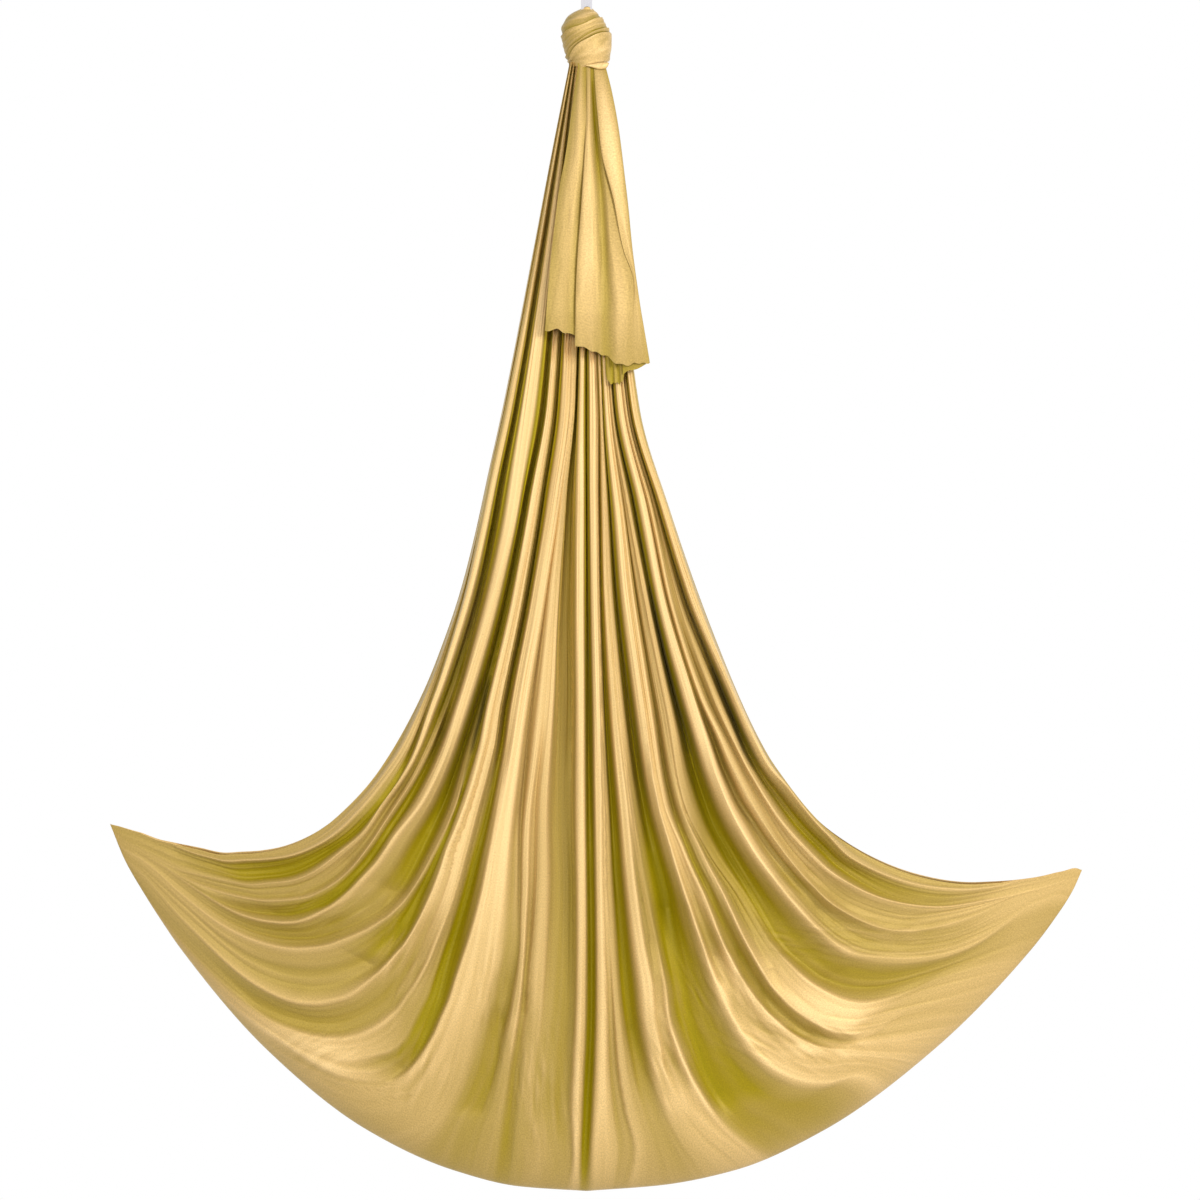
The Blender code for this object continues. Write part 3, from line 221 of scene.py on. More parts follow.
# Folds of the cloth from left to right, each followed down the photograph as column, row and height, where
# 1 is a crest and 0 the bottom of a valley. The last entry says where it ends on the bottom fold, as a
# share of the reach.
FOLDS = [
    ("left curled rim", -0.9995, [
        (504, 400, .55), (481, 500, .55), (459, 600, .6), (427, 700, .7), (405, 750, .8), (380, 785, .8),
        (350, 820, .8), (300, 853, .8), (245, 861, .8), (200, 857, .8), (150, 838, .8)]),
    ("left rim slit", -0.999, [
        (506, 400, .5), (484, 500, .5), (462, 600, .5), (430, 700, .4), (411, 750, .15), (391, 790, .05),
        (355, 830, .05), (320, 852, .05), (262, 870, .1), (190, 858, .2), (150, 841, .3)]),
    ("first left crest", -0.998, [
        (510, 400, .85), (489, 500, .9), (466, 600, .9), (434, 700, .9), (412, 760, .9), (385, 800, .85),
        (365, 830, .8), (340, 852, .8), (299, 879, .75), (261, 885, .7), (222, 882, .7), (176, 872, .7)]),
    ("first left valley", -0.997, [
        (516, 400, .1), (496, 500, .05), (475, 600, 0), (443, 700, .1), (416, 762, .3), (390, 803, .4),
        (365, 840, .45), (340, 866, .5), (299, 890, .5), (262, 894, .5), (215, 886, .5)]),
    ("thin left crest", -0.996, [
        (517, 400, .15), (497.5, 500, .1), (477, 600, .1), (447, 700, .35), (420, 765, .75),
        (396, 805, .8), (366, 850, .8), (340, 879, .75), (314, 895, .75), (268, 902, .75),
        (207, 890, .75), (158, 866, .7)]),
    ("second left valley", -0.995, [
        (518.5, 400, .1), (499, 500, .1), (479, 600, .1), (452, 700, .15), (430, 755, .1), (404, 802, 0),
        (374, 850, 0), (354, 875, 0), (334, 895, 0), (308, 908, .1), (272, 913, .25), (220, 904, .4),
        (165, 871, .5)]),
    ("second left crest", -0.993, [
        (528, 400, 1), (516, 500, 1), (493, 600, .95), (463, 700, .95), (447, 750, .9), (423, 800, .9),
        (392, 840, .9), (377, 862, .85), (362, 878, .85), (347, 893, .8), (332, 905, .8), (316, 914, .8),
        (284, 923, .8), (238, 915, .8), (176, 878, .75), (138, 849, .7)]),
    ("third left valley", -0.991, [
        (543, 400, .1), (524, 500, .05), (504, 600, .05), (478, 700, .05), (461, 750, .05),
        (443, 800, .05), (420, 850, .1), (403, 882, .2), (385, 902, .4), (365, 915, .4), (331, 929, .3),
        (288, 936, .28), (230, 921, .4), (160, 872, .5)]),
    ("thin middle crest", -0.989, [
        (544.5, 400, .15), (526, 500, .1), (506.5, 600, .1), (482, 700, .2), (468, 755, .45),
        (454, 810, .75), (430, 860, .75), (405, 900, .75), (375, 925, .75), (340, 941, .75),
        (291, 949, .75), (222, 927, .75), (146, 867, .7)]),
    ("fourth left valley", -0.985, [
        (546, 400, .1), (527.5, 500, .05), (509, 600, .05), (485, 700, .05), (474, 750, .05),
        (458, 800, .05), (439, 850, 0), (422, 885, 0), (408, 915, 0), (396, 936, .1), (380, 956, .25),
        (362, 968, .38), (335, 975, .42), (288, 974, .42), (230, 948, .5), (165, 890, .55)]),
    ("third left crest", -0.975, [
        (549, 400, .95), (533, 500, 1), (514, 600, .95), (491, 700, .95), (481, 750, .95),
        (466, 800, .95), (449, 843, .95), (440, 870, .95), (429, 898, .9), (417, 923, .9),
        (405, 943, .85), (392, 958, .85), (375, 975, .8), (360, 987, .8), (346, 996, .8), (328, 1001, .8),
        (308, 1003, .8), (284, 999, .8), (238, 974, .8), (192, 933, .75), (140, 878, .7)]),
    ("shoulder dip", -0.955, [
        (551, 400, .9), (536, 500, .9), (518, 600, .85), (496, 700, .85), (486, 750, .85),
        (472, 800, .85), (456, 843, .85), (448, 870, .85), (438, 898, .8), (427, 923, .65),
        (416, 947, .55), (405, 968, .46), (389, 989, .42), (370, 1004, .4), (350, 1013, .38),
        (325, 1019, .34), (290, 1014, .32), (240, 990, .32), (185, 938, .42)]),
    ("left shoulder", -0.93, [
        (552, 400, .85), (538, 500, .85), (521, 600, .85), (500, 700, .85), (492, 750, .85),
        (479, 800, .85), (466, 850, .85), (452, 900, .85), (438, 937, .85), (426, 966, .8),
        (412, 990, .75), (400, 1007, .75), (386, 1021, .8), (368, 1032, .8), (337, 1040, .85),
        (300, 1035, .85), (262, 1020, .8), (225, 985, .75)]),
    ("left slope", -0.86, [
        (554, 400, .5), (540, 500, .5), (523.5, 600, .5), (503, 700, .5), (495.5, 750, .5),
        (484, 800, .5), (471, 850, .5), (458, 900, .52), (446, 938, .5), (433, 975, .48),
        (421, 1005, .48), (408, 1032, .5), (392, 1050, .62), (370, 1056, .75), (342, 1060, .85),
        (305, 1048, .9), (270, 1030, .88)]),
    ("fifth left valley", -0.8, [
        (557, 400, .05), (543, 500, 0), (527, 600, 0), (507, 700, .1), (500, 750, .15), (490, 800, .1),
        (477, 850, .05), (464, 897, 0), (451, 940, 0), (441, 980, 0), (433, 1010, .05), (423, 1036, .1),
        (410, 1058, .2), (396, 1073, .45), (375, 1079, .7), (350, 1078, .85), (310, 1062, .95),
        (280, 1043, .95)]),
    ("left inner shoulder", -0.7, [
        (565, 400, .9), (552, 500, .9), (535, 600, .9), (516, 700, .9), (508, 750, .85), (499, 800, .9),
        (490, 850, .9), (480, 900, .9), (464, 955, .85), (451, 995, .85), (438, 1026, .85),
        (422, 1055, .8), (405, 1075, .75), (388, 1087, .7), (368, 1094, .7), (345, 1094, .7),
        (320, 1085, .75)]),
    ("fourth left crest", -0.42, [
        (570, 400, .9), (557, 500, .95), (541, 600, .95), (523, 700, .95), (506, 800, .95),
        (489, 900, .9), (471, 1000, .85), (452, 1065, .75), (432, 1115, .7)]),
    ("streak valley", -0.3, [
        (571.5, 400, .85), (560, 500, .8), (546, 600, .7), (532, 700, .65), (522, 800, .6),
        (519, 900, .55), (516, 960, .4), (508, 1000, .3), (501, 1025, .25), (494, 1055, .25),
        (484, 1083, .2), (473, 1107, .25), (461, 1122, .45)]),
    ("fifth left crest", -0.22, [
        (573, 400, .85), (562, 500, .85), (551, 600, .9), (542, 700, .9), (529, 800, .9), (524, 900, .85),
        (517, 1000, .8), (503, 1080, .6), (492, 1130, .55)]),
    ("thin crease", -0.175, [
        (573.5, 400, .82), (563.5, 500, .8), (553.5, 600, .85), (546, 700, .85), (537, 780, .7),
        (533, 880, .6), (527, 960, .5), (520, 1040, .45), (514, 1080, .3), (508, 1140, .25)]),
    ("crease ridge", -0.15, [
        (574, 400, .8), (565, 500, .75), (556, 600, .8), (550, 700, .85), (543, 780, .8), (540, 880, .75),
        (535, 960, .75), (529, 1040, .6), (524, 1080, .55), (519, 1140, .5)]),
    ("wide valley, left", -0.12, [
        (575.5, 400, .2), (566.5, 500, .3), (561, 600, .35), (558, 700, .4), (555, 800, .4),
        (557, 900, .4), (551, 1000, .45), (543, 1100, .5), (540, 1160, .6)]),
    ("wide valley, right", -0.05, [
        (577.5, 400, .15), (572, 500, .2), (571, 600, .3), (572, 700, .35), (571, 800, .35),
        (573, 900, .3), (572, 1000, .35), (566, 1100, .4), (570, 1160, .5)]),
    ("middle left ridge", -0.02, [
        (581, 400, .95), (581, 500, .95), (581, 600, .95), (581, 800, .95), (581, 1000, .9),
        (578, 1100, .9), (577, 1160, .9)]),
    ("middle slit", -0.008, [
        (586, 400, .1), (586.5, 500, .05), (587, 600, .05), (588, 700, .05), (589, 800, .05),
        (591, 900, .1), (591, 1000, .05), (587, 1100, 0), (584, 1160, 0)]),
    ("middle right ridge", 0.02, [
        (593, 400, .95), (593.5, 500, .95), (595, 600, .95), (598, 700, .95), (600, 800, .95),
        (601, 900, .95), (602, 1000, .9), (599, 1100, .85), (596, 1160, .8)]),
    ("lower crease", 0.07, [
        (596, 400, .85), (597, 500, .8), (598.5, 600, .8), (601, 700, .8), (604, 800, .8), (606, 900, .8),
        (611, 1000, .6), (614, 1060, .5), (621, 1110, .5), (630, 1150, .55)]),
    ("lower crease ridge", 0.10, [
        (597, 400, .75), (598, 500, .7), (599.5, 600, .7), (602, 700, .7), (606, 800, .7), (609, 900, .7),
        (616, 1000, .7), (621, 1060, .75), (629, 1110, .75), (640, 1150, .75)]),
    ("first right valley", 0.20, [
        (599, 400, .25), (600, 500, .2), (601.5, 600, .15), (605, 700, .15), (611, 800, .05),
        (618, 900, .05), (626, 1000, .05), (640, 1070, .2), (655, 1120, .45)]),
    ("first right crest", 0.31, [
        (600.5, 400, .9), (603.5, 500, .9), (607, 600, .9), (615, 700, .9), (626, 800, .95),
        (637, 900, .95), (643, 940, .95), (651, 980, .95), (655, 1020, .9), (662, 1060, .85),
        (677, 1100, .85), (695, 1130, .75)]),
    ("twin dip", 0.335, [
        (601, 400, .85), (604.5, 500, .85), (608.5, 600, .85), (617, 700, .85), (628.5, 800, .85),
        (643, 900, .5), (650, 940, .5), (657, 980, .6), (660, 1020, .72), (668, 1060, .6),
        (683, 1100, .8)]),
    ("twin ridge", 0.36, [
        (601.5, 400, .85), (606, 500, .8), (610.5, 600, .8), (619, 700, .8), (631, 800, .7),
        (648, 900, .5), (656, 940, .5), (664, 980, .75), (669, 1020, .9), (683, 1060, .95),
        (704, 1100, .95), (722, 1125, .8)]),
    ("second right valley", 0.42, [
        (602.5, 400, .1), (609, 500, .1), (616, 600, .1), (628, 700, .1), (644, 800, .1), (667, 888, 0),
        (672, 925, .05), (678, 960, .15), (685, 990, .2), (694, 1022, .2), (706, 1060, .15),
        (722, 1094, .12), (743, 1117, .3)]),
    ("second right crest", 0.6, [
        (607, 400, .95), (618, 500, .95), (628, 600, .95), (642, 700, .95), (657, 800, .95),
        (671, 850, .95), (687, 900, .95), (701, 940, .95), (715, 980, .95), (728, 1008, .95),
        (743, 1034, .95), (759, 1053, .95), (778, 1069, .9), (802, 1080, .85), (830, 1083, .8),
        (856, 1077, .8)]),
    ("thin dip", 0.64, [
        (608, 400, .9), (619.5, 500, .85), (630, 600, .85), (644.5, 700, .85), (660, 800, .85),
        (676, 850, .8), (694, 900, .6), (708, 935, .4), (722, 968, .7), (738, 996, .8), (752, 1020, .75),
        (770, 1042, .8), (792, 1060, .9), (820, 1068, .9), (848, 1064, .85)]),
    ("second ridge", 0.68, [
        (608.5, 400, .9), (620.5, 500, .85), (632, 600, .85), (647, 700, .85), (664, 800, .85),
        (684, 850, .85), (706, 900, .9), (722, 941, .95), (738, 972, .95), (756, 999, .95),
        (776, 1021, .95), (797, 1037, .95), (822, 1048, .9), (845, 1051, .85)]),
    ("shallow right valley", 0.76, [
        (610, 400, .7), (623, 500, .6), (637, 600, .45), (654, 700, .45), (672, 800, .35),
        (691, 855, .25), (713, 900, .25), (734, 940, .25), (756, 978, .26), (776, 1006, .3),
        (797, 1025, .34), (818, 1037, .45), (842, 1043, .6), (864, 1042, .8)]),
    ("third ridge", 0.8, [
        (610.5, 400, .75), (625, 500, .7), (641, 600, .7), (660, 700, .7), (679, 800, .75),
        (703, 855, .85), (726, 900, .95), (745, 940, .95), (767, 979, .95), (786, 1001, .95),
        (803, 1015, .95), (824, 1027, .95), (850, 1034, .9), (880, 1028, .75), (905, 1015, .65)]),
    ("bright plateau", 0.84, [
        (611, 400, .75), (626, 500, .72), (643.5, 600, .75), (663, 700, .75), (681.5, 800, .7),
        (707, 855, .42), (734, 900, .32), (756, 940, .5), (783, 978, .75), (815, 1009, .92),
        (850, 1021, .95), (885, 1014, .68)]),
    ("shallow right crest", 0.88, [
        (611.5, 400, .75), (627, 500, .75), (646, 600, .8), (666, 700, .8), (684, 800, .75),
        (711, 855, .42), (743, 900, .3), (767, 938, .48), (790, 964, .7), (807, 980, .92),
        (824, 991, .95), (842, 1000, .95), (863, 1004, .92), (885, 1001, .8), (910, 993, .65),
        (935, 982, .6)]),
    ("third right valley", 0.955, [
        (613.5, 400, .05), (633, 500, 0), (652, 600, 0), (663, 650, 0), (676, 700, 0), (688, 740, 0),
        (700, 780, .05), (715, 820, .05), (737, 860, .1), (760, 900, .15), (785, 943, .22),
        (820, 973, .27), (850, 984, .3), (880, 984, .32), (935, 970, .4)]),
    ("third right crest", 0.975, [
        (621, 400, .95), (643, 500, 1), (663, 600, 1), (690, 690, 1), (706, 745, 1), (726, 800, .95),
        (750, 845, .95), (775, 880, .9), (800, 910, .9), (825, 935, .85), (850, 952, .85), (880, 958, .8),
        (922, 959, .8), (978, 945, .8), (1034, 907, .75)]),
    ("thin right valley", 0.982, [
        (623, 400, .75), (646, 500, .6), (667, 600, .5), (694, 690, .45), (716, 745, .35),
        (737, 795, .45), (757, 825, .45), (780, 857, .45), (800, 880, .35), (825, 906, .4),
        (850, 925, .4), (880, 937, .45), (922, 940, .5), (965, 932, .55), (1015, 909, .6)]),
    ("fourth right crest", 0.987, [
        (625, 400, .85), (649, 500, .85), (670, 600, .9), (701, 695, .9), (722, 740, .9), (735, 770, .9),
        (750, 800, .9), (775, 840, .85), (800, 872, .85), (825, 898, .85), (850, 915, .8), (880, 928, .8),
        (910, 932, .8), (964, 922, .8), (1020, 899, .75)]),
    ("twin valley", 0.991, [
        (626, 400, .6), (651, 500, .55), (674, 600, .6), (707, 695, .55), (742, 765, .65),
        (766, 806, .65), (790, 845, .62), (814, 872, .58), (840, 895, .5), (868, 908, .55),
        (905, 917, .55), (955, 911, .6), (1012, 898, .65)]),
    ("fifth right crest", 0.994, [
        (627, 400, .6), (653, 500, .55), (679, 600, .6), (713, 690, .7), (750, 771, .8), (775, 812, .8),
        (800, 842, .8), (825, 867, .8), (850, 884, .8), (880, 898, .8), (936, 908, .8), (992, 902, .8)]),
    ("right rim valley", 0.997, [
        (629.5, 400, .1), (656, 500, .1), (686, 600, .1), (706, 650, .1), (726, 700, .05),
        (750, 754, .15), (765, 780, .2), (782, 802, .2), (800, 824, .1), (818, 842, .1), (842, 865, .15),
        (880, 889, .2), (920, 902, .3), (975, 899, .4), (1015, 890, .5)]),
    ("right rim crest", 0.999, [
        (632.5, 400, .9), (662, 500, .9), (694, 600, .9), (738, 700, .9), (768, 765, .9), (790, 790, .85),
        (825, 832, .8), (850, 857, .8), (880, 873, .8), (925, 887, .8), (950, 890, .8), (992, 889, .8),
        (1034, 880, .8)]),
]

# Front free end: each fold or edge of it followed down the photograph as row, column and height over the
# folds behind in millimetres. The last row of each is the hem's.
FRONT_TAIL = [
    ("left edge", [
        (66, 578, 2), (110, 571.5, 5), (150, 566.5, 6), (200, 557.5, 6), (250, 551.5, 6), (300, 547, 7),
        (331, 545, 6)]),
    ("left panel", [
        (66, 579.5, 5), (110, 575, 8), (150, 572, 9), (200, 566, 10), (250, 562, 10), (300, 559, 10),
        (329.5, 557, 9)]),
    ("left panel ridge", [
        (66, 581.5, 9), (110, 580, 12), (150, 579, 12), (200, 574.5, 11), (250, 570.5, 10), (300, 568, 9),
        (333.5, 567, 8)]),
    ("hidden crease", [
        (66, 585, 3), (95, 586, 6), (120, 586.3, 9), (150, 586, 6), (200, 583.5, 2), (250, 580.5, 3),
        (300, 578.5, 3), (337, 578, 3)]),
    ("middle panel edge", [
        (66, 587, 7), (110, 587, 10), (150, 584.8, 11), (200, 581.5, 11), (250, 578, 11), (300, 576, 10),
        (344.5, 575, 8)]),
    ("middle ridge", [
        (66, 589, 9), (110, 589.3, 12), (150, 588.5, 13), (200, 588.5, 14), (250, 588.5, 14),
        (300, 587.5, 13), (349, 588, 10)]),
    ("middle panel right", [
        (66, 590, 7), (110, 591, 8), (150, 592.5, 9), (200, 594.5, 11), (250, 596, 11), (300, 597, 10),
        (353, 597, 8)]),
    ("slit and wide valley", [
        (66, 591.5, 0), (110, 593.5, 0), (150, 597, 1), (200, 601.5, 3), (250, 604, 4), (300, 606, 5),
        (356, 605.5, 5)]),
    ("narrow band", [
        (66, 592.5, 2), (110, 595, 2), (150, 600, 5), (200, 607, 9), (250, 612, 11), (280, 616, 12),
        (310, 619, 12), (363.5, 617, 9)]),
    ("crease under the flap", [
        (66, 595, 2), (110, 599, 3), (150, 603.5, 3), (200, 616, 7), (250, 626.5, 9), (280, 632, 9),
        (310, 631, 10), (365, 628, 8)]),
    ("flap edge", [
        (66, 594, 8), (110, 597, 11), (150, 601, 12), (200, 613.4, 12), (250, 623.6, 11),
        (280, 634, 10.5), (310, 636, 11), (363, 637, 9)]),
    ("flap middle", [
        (66, 600, 10), (110, 607, 14), (150, 612.5, 15), (200, 620.5, 14), (250, 629, 12),
        (280, 634.8, 10), (310, 638.5, 10), (363.5, 644, 8)]),
    ("right edge", [
        (66, 605.5, 4), (90, 611.6, 6), (130, 618.8, 7), (170, 624.2, 7), (210, 629, 7), (250, 633, 7),
        (290, 638, 7), (330, 644, 7), (363, 649, 5)]),
    ("edge turned under", [
        (66, 603, 1), (110, 609, 1), (150, 614, 2), (200, 620, 2), (250, 625, 3), (300, 628, 3),
        (370, 632, 3)]),
    ("under layer", [
        (66, 600, 1), (110, 604, 1), (150, 608, 1), (200, 613, 1), (250, 617, 1), (300, 620, 1),
        (374, 623, 2)]),
]
# Second free end, seen below the first one's hem
BACK_TAIL = [
    ("left edge", [
        (66, 585, 0), (150, 592, 0), (250, 600, 0), (374, 606, 0)]),
    ("left ridge", [
        (66, 587, 2), (150, 595, 3), (250, 603, 3), (382, 608.5, 3)]),
    ("crease", [
        (66, 589, 0), (150, 598, 0), (250, 606, 1), (383.5, 613, 1)]),
    ("middle ridge", [
        (66, 591, 2), (150, 601, 3), (250, 609, 4), (382.5, 616, 4)]),
    ("second crease", [
        (66, 593, 0), (150, 604, 1), (250, 612, 1), (384, 619, 1)]),
    ("right ridge", [
        (66, 595, 2), (150, 606, 3), (250, 615, 4), (382, 622, 4)]),
    ("right edge", [
        (66, 597, 0), (150, 608, 1), (250, 618, 1), (374, 624.5, 1)]),
]
# How far the front free end lifts off the leaf by row, and how its folds rise below the knot
TAIL_LIFTS = [(66, 0.0), (110, 0.003), (200, 0.006), (400, 0.007)]
TAIL_RISES = [(66, 0.2), (90, 0.75), (130, 1)]
TAIL_LEAF_ROWS = (66, 400)
TAIL_STEPS = 12
TAIL_ROWS = 200
TAIL_ROWS_HIDDEN = 3.0
# Wrinkles in height and bends in columns, as in the streaks above, but with lumps per fold line
TAIL_WRINKLES = [(2.2, 20, 9, 30, 0.6, 0), (6.3, 40, 21, 10, 0.25, 1)]
TAIL_BENDS = [(1.1, 60, 5, 50, 0.5, 2)]
# Millimetres off the leaf, the height of a fold with the brightest painted highlight, and the painted shade
# of the valleys
TAIL_OFF_LEAF_MM = 1.2
TAIL_PAINTED_HIGHLIGHT_MM = 18
TAIL_VALLEY_PAINTED_SHADE = 0.12
# Waves of the hem, in rows, over the last share of the length
HEM_CURL = 0.9
HEM_WAVES = 5.1
HEM_SHARE = 0.03

# Knot: its outline, the top edges of its wraps by angle, where 0 is the photograph's right and -90 its
# front, and heights as rows of the photograph
KNOT_LEFT = [
    (6, 586), (7.5, 583.5), (9, 581), (12, 574), (16, 568.6), (20, 565), (24, 562.8), (30, 561.4),
    (36, 562.4), (42, 563.2), (48, 564.0), (52, 565.1), (56, 566.1), (59, 567.9), (62, 569.4), (66, 570),
]
KNOT_RIGHT = [
    (6, 588), (8, 591.5), (11, 595), (14, 598), (18, 601.3), (22, 603.7), (26, 606.1), (32, 608.8),
    (38, 610.4), (44, 610.9), (50, 610.5), (56, 610.1), (61, 609.7), (64, 608), (66, 605.5),
]
# Depth of the knot by row, as a share of its width
KNOT_DEPTHS = [(6, 0.85), (12, 0.97), (60, 0.97), (67, 1.06)]
KNOT_LEAST_RADIUS = 0.0105
# Tone of the knot by row, lighter towards its foot, and the painted shade on its left side, away from the
# light
KNOT_TINTS = [(6, 0.72), (36, 0.72), (44, 0.80)]
KNOT_LEFT_SHADE = 0.26
WRAP_TURN_STEPS = 289
WRAP_ROLL_SHARES = [-0.10, -0.075, -0.05, -0.03, -0.015]
WRAP_ROLL_ROWS = 2.2
WRAP_ROLL_DEPTH = 0.0045
# A turn's upper edge is raised and given a painted highlight over these rows, and it is pressed in and
# darkened by painted shade under the next turn
WRAP_EDGE_ROWS = 1.6
WRAP_EDGE_HEIGHT = 0.0012
WRAP_EDGE_PAINTED_HIGHLIGHT = 0.12
WRAP_SHADE_ROWS = 1.3
WRAP_SHADE_DEPTH = 0.0012
WRAP_SHADE_TONE = 0.60
# The last share of a turn dives in under the next one
WRAP_END_SHARE = 0.10
WRAP_END_DEPTH = 0.0040
# Painted shading per metre of a ridge's height, lighter on the ridges, painted shading of the fine ridges,
# and painted shade inside the roll
WRAP_RIDGE_PAINTED_SHADING = 130
WRAP_FINE_PAINTED_SHADING = 0.10
WRAP_INSIDE_PAINTED_SHADE = 0.9
# Tucked end: columns and rows of its upper and lower edges, from its hidden end to its free one
TUCK_EDGES = [
    (586.5, 64.6, 66.0), (590, 64.2, 66.9), (593.5, 63.6, 68.1), (597, 63.0, 69.2), (600.5, 62.6, 69.5),
    (603.5, 62.4, 69.2), (606, 62.3, 68.2), (607.6, 62.4, 65.8), (608.4, 62.8, 63.8),
]
TUCK_ROW = 63.0
TUCK_LEAST_FRONT = 0.034
TUCK_BULGE = 0.0028
WRAP_EDGES = {
    "upper": [
        (-180, 37), (-160, 35), (-150, 33), (-134, 29.5), (-118, 27), (-99, 24.8), (-85, 22.5), (-71, 20),
        (-46, 17.5), (0, 17), (60, 20), (120, 30), (180, 37)],
    "middle": [
        (-180, 58), (-160, 56), (-149, 53.5), (-134, 48), (-120, 43.6), (-107, 40), (-95, 36.6),
        (-80, 33.3), (-67, 30.7), (-50, 28.6), (-30, 27.5), (0, 28), (60, 38), (120, 52), (180, 58)],
    "lower": [
        (-180, 62), (-160, 60.5), (-146, 58), (-134, 53), (-123, 48), (-107, 42.5), (-88, 38.2),
        (-75, 35.4), (-62, 33.3), (-45, 32), (-25, 32), (0, 34), (60, 46), (120, 57), (180, 62)],
    "foot": [
        (-180, 65.5), (-150, 66.3), (-130, 67.4), (-112, 68.5), (-100, 67.6), (-90, 66.6), (-80, 65.6),
        (-60, 64.3), (-30, 62.6), (0, 62.4), (60, 65), (120, 66), (180, 65.5)],
}

# Cells that the smooth noise has each way before it repeats
NOISE_CELLS = 257

# Cloth colours along the painted shading, from the painted olive shade at the bottom of the folds to the
# painted highlight on the crests, and the webbing's between and on its threads
CLOTH_PAINTED_SHADING_COLOURS = [
    (0.0, (0.26, 0.202, 0.0)), (0.14, (0.285, 0.212, 0.004)), (0.30, (0.325, 0.226, 0.034)),
    (0.45, (0.37, 0.257, 0.060)), (0.62, (0.45, 0.305, 0.098)), (0.82, (0.63, 0.425, 0.170)),
    (1.0, (0.87, 0.61, 0.28)),
]
WEBBING_COLOURS = [(0.0, (0.50, 0.49, 0.53)), (1.0, (0.66, 0.655, 0.685))]
STEEL_COLOUR = (0.33, 0.34, 0.36)
BRONZE_COLOUR = (0.60, 0.40, 0.18)
SKY_STRENGTH = 0.55
FLOOR_BELOW = 0.5


def smooth_curve(points, at):
    """Heights on the smooth curve through (place, height) points, which never overshoots them."""
    places = np.array([point[0] for point in points], float)
    heights = np.array([point[1] for point in points], float)
    at = np.clip(np.asarray(at, float), places[0], places[-1])
    widths = np.diff(places)
    slopes = np.diff(heights) / widths
    tangents = np.concatenate([slopes[:1], np.zeros(len(points) - 2), slopes[-1:]])
    for index in range(1, len(points) - 1):
        before, after = slopes[index - 1], slopes[index]
        if before * after > 0:
            near = 2 * widths[index] + widths[index - 1]
            far = widths[index] + 2 * widths[index - 1]
            tangents[index] = (near + far) / (near / before + far / after)
    index = np.clip(np.searchsorted(places, at) - 1, 0, len(widths) - 1)
    t = (at - places[index]) / widths[index]
    rise = widths[index]
    start = (2 * t**3 - 3 * t**2 + 1) * heights[index] + (t**3 - 2 * t**2 + t) * rise * tangents[index]
    end = (3 * t**2 - 2 * t**3) * heights[index + 1] + (t**3 - t**2) * rise * tangents[index + 1]
    return start + end


def straight_lines(points, at):
    """Values on the straight lines through (place, value) points."""
    return np.interp(at, *zip(*points))


def soft_step(at, start, end):
    """0 before start, 1 after end, smooth between."""
    share = np.clip((at - start) / (end - start), 0, 1)
    return share * share * (3 - 2 * share)


def soft_noise(across, along, seed):
    """Smooth noise between -1 and 1 over two coordinates, one lump per unit."""
    lumps = np.random.default_rng(seed).uniform(-1, 1, (NOISE_CELLS, NOISE_CELLS))
    cell_x, cell_y = np.floor(across).astype(int), np.floor(along).astype(int)
    x, y = across - cell_x, along - cell_y
    x, y = x * x * (3 - 2 * x), y * y * (3 - 2 * y)
    left, right = cell_x % NOISE_CELLS, (cell_x + 1) % NOISE_CELLS
    top, bottom = cell_y % NOISE_CELLS, (cell_y + 1) % NOISE_CELLS
    here = lumps[left, top] * (1 - x) + lumps[right, top] * x
    below = lumps[left, bottom] * (1 - x) + lumps[right, bottom] * x
    return here * (1 - y) + below * y


def layered_noise(layers, across, down, seed):
    """Smooth noise of several sizes added up, each layer with its own lumps, starts, strength and seed."""
    total = 0
    for per_across, start, per_down, down_start, strength, step in layers:
        lumps = soft_noise(across * per_across + start, down * per_down + down_start, seed + step)
        total = total + strength * lumps
    return total


def photo_place(column, row, y):
    """x and z of the point of the photograph at that column and row that lies at depth y."""
    nearer = (CAMERA_DISTANCE + y) / CAMERA_DISTANCE
    x = (PHOTO_SIZE / 2 - MIDDLE_COLUMN) * PIXEL + (column - PHOTO_SIZE / 2) * PIXEL * nearer
    z = CLOTH_TOP - (PHOTO_SIZE / 2 - KNOT_FOOT_ROW) * PIXEL - (row - PHOTO_SIZE / 2) * PIXEL * nearer
    return x, z


def link(piece):
    """Adds the piece to the scene."""
    bpy.context.scene.collection.objects.link(piece)
    return piece


def joined(*parts):
    """One row per point of a grid, from one grid per coordinate."""
    return np.stack(parts, axis=-1).reshape(-1, len(parts))


